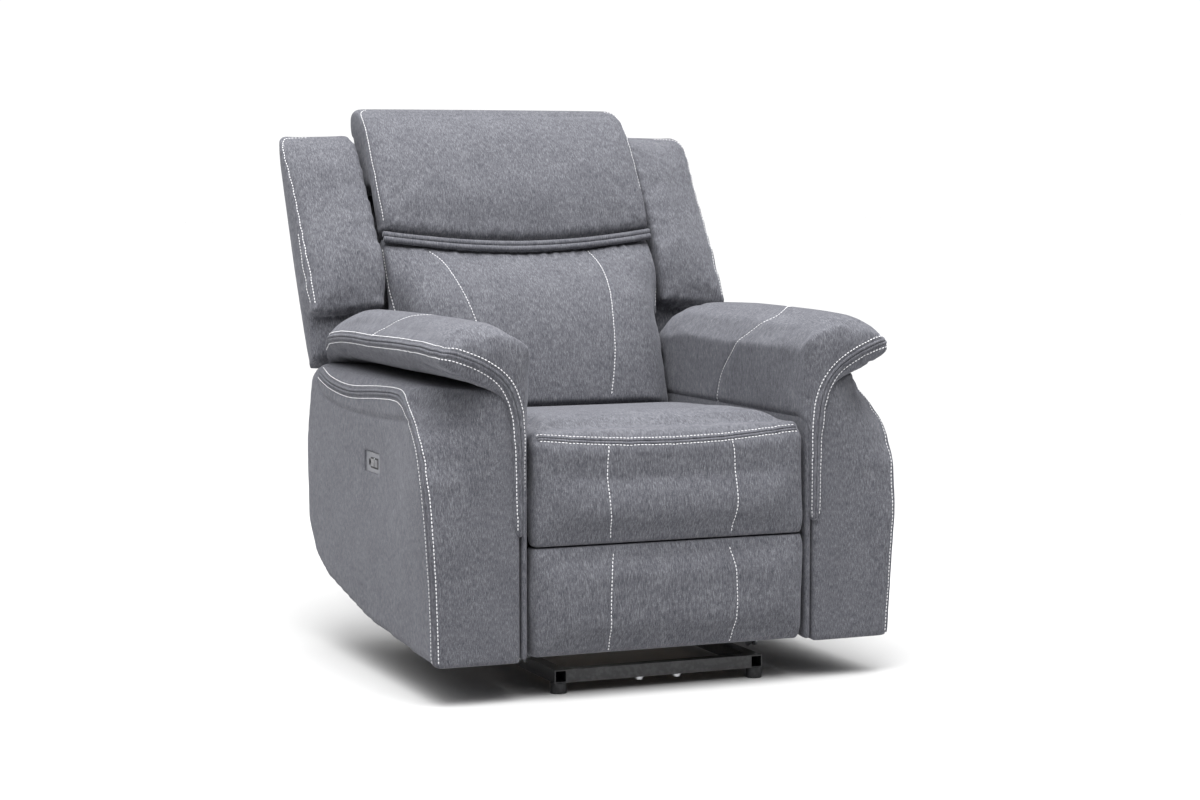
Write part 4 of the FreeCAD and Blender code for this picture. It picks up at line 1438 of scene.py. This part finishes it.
@dataclass
class ArmCover(Upholstery):
    """The arm's outer cover: side, front and rolled top edge, with its band and crescent."""

    side: Side = Side.RIGHT
    margin: float = 1.0
    pocket: float = -436.0

    def axes(self) -> Matrix:
        """Returns the mirror for the left arm."""
        return Matrix.Scale(self.side.value, 4, (1, 0, 0))

    def blank(self) -> Pad:
        """Returns the arm cover's blank."""
        outline = [(-500, 70), (-100, 97), (162, 144), (244, 178), (298, 242), (312, 400), (274, 536),
                   (240, 566), (-500, 566)]
        solid = prism(outline, "x", 293, 455)
        soften(solid, lambda a, b: min(a.x, b.x) > 0.44 and min(a.z, b.z) > 0.55, 34, 4)
        soften(solid, lambda a, b: min(a.x, b.x) > 0.44 and max(a.y, b.y) < -0.49, 16, 3)
        piece = as_object(self.name, [solid])
        weld(piece, 8.0, 3)
        shaped(piece, self.shape)
        if self.side is Side.LEFT:
            turned(piece, self.axes())
        sign = self.side.value

        def room(co: Vector) -> Vector:
            """Keeps the cover behind the control plate and outside the frame."""
            co.x = sign * max(0.291, min(0.4700, sign * co.x))
            return co

        return Pad(piece, 1.0, lambda co: 1.0, room, 0.2)

    def shape(self, co: Vector) -> Vector:
        """Lays the front edge back towards its top and gives the side a slight crown."""
        lie = along(co.z, [(0.066, -0.497), (0.20, -0.503), (0.30, -0.504), (0.396, -0.490),
                           (0.45, -0.466),
                           (0.468, -0.454), (0.505, -0.408), (0.535, -0.360), (0.58, -0.335)])
        out = min(1.0, max(0.0, (co.x - 0.315) / 0.130))
        ahead = max(0.0, min(1.0, (-0.30 - co.y) / 0.20))
        co.y += (lie + 0.500) * out ** 2.2 * ahead
        if co.x > 0.40:
            rise = math.sin(math.pi * max(0.0, min(1.0, (co.z - 0.07) / 0.47)))
            run = math.sin(math.pi * max(0.0, min(1.0, (co.y + 0.50) / 0.80)))
            near = math.exp(-(((co.y + 0.138) / 0.12) ** 2 + ((co.z - 0.403) / 0.09) ** 2))
            co.x += 0.006 * max(rise, 0.0) * max(run, 0.0) ** 0.5 * (1.0 - near)
            fore = math.exp(-(((co.y + 0.46) / 0.15) ** 2 + ((co.z - 0.39) / 0.17) ** 2))
            co.x += 0.013 * fore * (1.0 - near)
        return co

    def finish(self) -> None:
        """Sews the cover, then sinks the pocket that the control plate sits in."""
        super().finish()
        if self.side is not Side.LEFT:
            return
        low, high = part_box("control_plate")
        edge = self.margin * MM
        for vert in self.pad.piece.data.vertices:
            co = vert.co
            level = low.z + edge < co.z < high.z - edge
            if co.x < -0.42 and level and low.y + edge < co.y < high.y - edge:
                co.x = max(co.x, self.pocket * MM)
        self.pad.piece.data.update()

    def seams(self) -> list[Seam]:
        """Returns the band over the top edge and down the front corner, and the crescent join."""
        band = [(452, 222, 550), (455, 130, 534), (456, 0, 528), (458, -165, 540), (460, -270, 546),
                (461, -318, 541), (463, -352, 527), (466, -400, 499), (469, -446, 460), (469, -478, 396),
                (468, -492, 320), (464, -493, 230), (459, -491, 150), (454, -488, 76)]
        crescent = [(455, 236, 545), (455, 190, 509), (455, 110, 496), (455, 0, 491), (455, -110, 492),
                    (455, -226, 495), (455, -330, 502), (455, -372, 503)]
        corner = [(440, -372, 548), (420, -420, 560), (400, -480, 570)]
        return [Seam(band, Sewing.FELLED, depth=0.5, width=7.0, spread=12.0, pucker=0.5),
                Seam(crescent, Sewing.PLAIN, depth=2.6, width=4.5, cast=(-1, 0, 0)),
                Seam(corner, Sewing.PLAIN, depth=1.8, width=4.0)]


@dataclass
class ArmLining(Upholstery):
    """The cloth lining on the arm's inner face, below the seat's top."""

    side: Side = Side.RIGHT

    def blank(self) -> Pad:
        """Returns the lining's blank."""
        outline = [(-496, 74), (160, 146), (284, 248), (303, 400), (278, 498), (-496, 498)]
        solid = prism(outline, "x", 277.5, 289.5)
        piece = as_object(self.name, [solid])
        weld(piece, 6.0, 2)
        if self.side is Side.LEFT:
            turned(piece, Matrix.Scale(-1, 4, (1, 0, 0)))
        return Pad(piece, 1.0, lambda co: 1.0, lambda co: co, 0.1)

    def finish(self) -> None:
        """Shades the lining smoothly without a further subdivision."""
        piece = self.pad.piece
        piece.data.polygons.foreach_set("use_smooth", [True] * len(piece.data.polygons))
        piece.data.materials.append(self.palette.cloth)
        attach(piece, self.body)
        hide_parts(*self.nodes)
        log.info("%s: %d faces", self.name, len(piece.data.polygons))


@dataclass
class Piping:
    """The double roll of piping between the head and lumbar cushions.

    Attributes:
        palette: the finishes.
        radius: a roll's radius, in millimetres.
        half: half its length.
        dip: how far its middle hangs.
    """

    palette: Palette
    radius: float = 6.2
    half: float = 296.0
    dip: float = 29.0

    def build(self) -> None:
        """Makes both rolls and lets them ride with the back."""
        lines = []
        for lift, forward in ((5.8, 0.0), (-5.8, -1.5)):
            points = []
            for part in (-1.0, -0.75, -0.4, 0.0, 0.4, 0.75, 1.0):
                sag = self.dip * (1 - part * part)
                points.append(leaning() @ (Vector((part * self.half,
                                                   -104 - 8 * (1 - part ** 4) + forward,
                                                   368 - sag + lift)) * MM))
            lines.append(flowing(points, 6.0))
        piece = tube("back_piping", lines, self.radius)
        piece.data.materials.append(self.palette.cloth)
        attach(piece, "back")
        log.info("piping: %d faces", len(piece.data.polygons))


@dataclass
class ControlDetails:
    """Small parts on the control plate: the dark well round the buttons and the pilot lamp."""

    palette: Palette
    rim: float = 3.2

    def build(self) -> None:
        """Makes the dark well round the buttons and the lamp above them."""
        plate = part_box("control_plate")[0]
        low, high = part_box("button_a")[0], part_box("button_b")[1]
        rim = self.rim * MM
        well = prism([((low.y - rim) / MM, (low.z - rim) / MM),
                      ((high.y + rim) / MM, (low.z - rim) / MM),
                      ((high.y + rim) / MM, (high.z + rim) / MM),
                      ((low.y - rim) / MM, (high.z + rim) / MM)],
                     "x", plate.x / MM - 0.5, plate.x / MM + 0.5)
        soften(well, lambda a, b: abs(a.y - b.y) < 1e-6 and abs(a.z - b.z) < 1e-6, 2.5, 4)
        rest = as_object("control_well", [well])
        rest.data.materials.append(self.palette.well)
        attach(rest, "chassis")
        bm = bmesh.new()
        turn = Matrix.Translation((plate.x - 0.0005, (low.y + high.y) / 2,
                                   high.z + rim * 0.45)) @ Matrix.Rotation(
            math.pi / 2, 4, "Y")
        bmesh.ops.create_uvsphere(bm, u_segments=16, v_segments=8, radius=0.0011, matrix=turn)
        lamp = as_object("pilot_lamp", [bm])
        lamp.data.materials.append(self.palette.lamp)
        lamp.data.polygons.foreach_set("use_smooth", [True] * len(lamp.data.polygons))
        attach(lamp, "chassis")
        log.info("control details: lamp at %s", tuple(round(v, 3) for v in lamp.data.vertices[0].co))


@dataclass
class HardParts:
    """The nodes that are shown as packed, given their finishes."""

    palette: Palette
    frame: dict
    shaded: tuple[str, ...] = ("seat_rail_front", "footrest_board")

    def dress(self, covered: set[str]) -> None:
        """Assigns a finish to every node that no piece stands for.

        Args:
            covered: the nodes that are replaced.
        """
        count = 0
        for name, node in self.frame["nodes"].items():
            if name in covered:
                continue
            for slot in node.material_slots:
                word = slot.material.name.split(".")[0] if slot.material else "black_steel"
                slot.material = self.palette.well if name in self.shaded else self.palette.for_slot(word)
            count += 1
        log.info("hard parts: %d nodes dressed", count)


@dataclass
class Studio:
    """A white sweep, soft lights and the camera."""

    lens: float = 79.05
    eye: Spot = (-1948.5, -4865.0, 958.5)
    pitch: float = 5.05
    yaw: float = 22.5
    zenith: float = 6.0
    horizon: float = 0.06
    floor_half: float = 40.0
    lamps: tuple = (("overhead", (-0.6, -1.4, 3.4), (0.0, 0.0, 0.4), 2.6, 130.0),
                    ("left_front", (-3.6, -1.6, 2.0), (0.0, 0.0, 0.5), 2.2, 3.0))

    def build(self) -> None:
        """Makes the floor, the lights, the world and the camera."""
        scene = bpy.context.scene
        scene.view_settings.view_transform = "Standard"
        bm = bmesh.new()
        bmesh.ops.create_grid(bm, x_segments=8, y_segments=8, size=self.floor_half)
        floor = as_object("studio_floor", [bm])
        floor.data.materials.append(self.paper())
        scene.world = self.sky()
        for name, spot, target, size, power in self.lamps:
            self.light(name, spot, target, size, power)
        data = bpy.data.cameras.new("camera")
        data.lens = self.lens
        data.sensor_width = 36.0
        camera = bpy.data.objects.new("camera", data)
        camera.location = Vector(self.eye) * MM
        camera.rotation_euler = (math.radians(90 - self.pitch), 0.0, math.radians(-self.yaw))
        scene.collection.objects.link(camera)
        scene.camera = camera
        log.info("studio ready")

    def sky(self) -> bpy.types.World:
        """Returns a world that lights mostly from above and looks plain white."""
        world = bpy.data.worlds.new("studio")
        world.use_nodes = True
        tree = Tree(world.node_tree)
        height = tree.add("SeparateXYZ", {0: tree.add("TexCoord").outputs["Generated"]}).outputs["Z"]
        crown = tree.maths("POWER", tree.maths("MAXIMUM", height, 0.0), 4.0)
        glow = tree.maths("MULTIPLY_ADD", crown, self.zenith - self.horizon, self.horizon)
        seen = tree.add("LightPath").outputs["Is Camera Ray"]
        level = tree.add("Mix", {"Factor": seen, 2: glow, 3: 1.05}, data_type="FLOAT").outputs[0]
        tree.tree.links.new(level, world.node_tree.nodes["Background"].inputs["Strength"])
        world.node_tree.nodes["Background"].inputs["Color"].default_value = (1.0, 1.0, 1.0, 1.0)
        return world

    def paper(self) -> bpy.types.Material:
        """Returns the pale floor's material."""
        material = bpy.data.materials.new("pale_floor")
        material.use_nodes = True
        tree = Tree(material.node_tree)
        shader = material.node_tree.nodes["Principled BSDF"]
        place = tree.add("TexCoord").outputs["Object"]
        colour = tree.ramp(tree.grain(place, 3.0), [(0.0, (0.52, 0.52, 0.52)),
                                                    (1.0, (0.54, 0.54, 0.54))])
        tree.tree.links.new(colour, shader.inputs["Base Color"])
        shader.inputs["Roughness"].default_value = 0.9
        shader.inputs["Specular IOR Level"].default_value = 0.1
        return material

    def light(self, name: str, spot: Spot, target: Spot, size: float, power: float) -> None:
        """Hangs one square soft light that faces a target."""
        data = bpy.data.lights.new(name, "AREA")
        data.shape = "SQUARE"
        data.size = size
        data.energy = power
        lamp = bpy.data.objects.new(name, data)
        lamp.location = spot
        lamp.rotation_euler = (Vector(target) - Vector(spot)).to_track_quat("-Z", "Y").to_euler()
        bpy.context.scene.collection.objects.link(lamp)


def upholstery(palette: Palette) -> list[Upholstery]:
    """Lists every padded sub-assembly.

    Args:
        palette: the finishes.

    Returns:
        The sub-assemblies, in the order that they are made.
    """
    parts: list[Upholstery] = [
        SeatPillow(palette, "chassis", ("seat_cushion",), "seat_pillow"),
        FootrestPillow(palette, "footrest", ("footrest_pad",), "footrest_pillow"),
        LumbarPillow(palette, "back", ("lumbar_cushion",), "lumbar_pillow"),
        HeadPillow(palette, "back", ("head_cushion",), "head_pillow"),
        BackCover(palette, "back", ("back_panel",), "back_cover"),
    ]
    for side in Side:
        parts += [
            WingPillow(palette, "back", ("wing_" + side.word,), "wing_pillow_" + side.word, side=side),
            ArmPillow(palette, "chassis", ("arm_pad_" + side.word,), "arm_pillow_" + side.word,
                      side=side),
            ArmCover(palette, "chassis", ("arm_outer_panel_" + side.word,
                                          "arm_front_panel_" + side.word),
                     "arm_cover_" + side.word, side=side),
            ArmLining(palette, "chassis", ("arm_inner_panel_" + side.word,), "arm_lining_" + side.word,
                      side=side),
        ]
    return parts


def main() -> None:
    """Builds the chair's looks round the frame."""
    logging.basicConfig(level=logging.INFO, format="%(name)s %(message)s")
    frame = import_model()
    Studio().build()
    palette = Palette()
    parts = upholstery(palette)
    pads = [part.cut() for part in parts]
    log.info("%d pads cut", len(pads))
    Stuffing().run([pad for pad in pads if pad.cap > FLAT_CAP])
    for part in parts:
        part.finish()
    Piping(palette).build()
    ControlDetails(palette).build()
    HardParts(palette, frame).dress({node for part in parts for node in part.nodes})


if __name__ == "__main__":
    main()
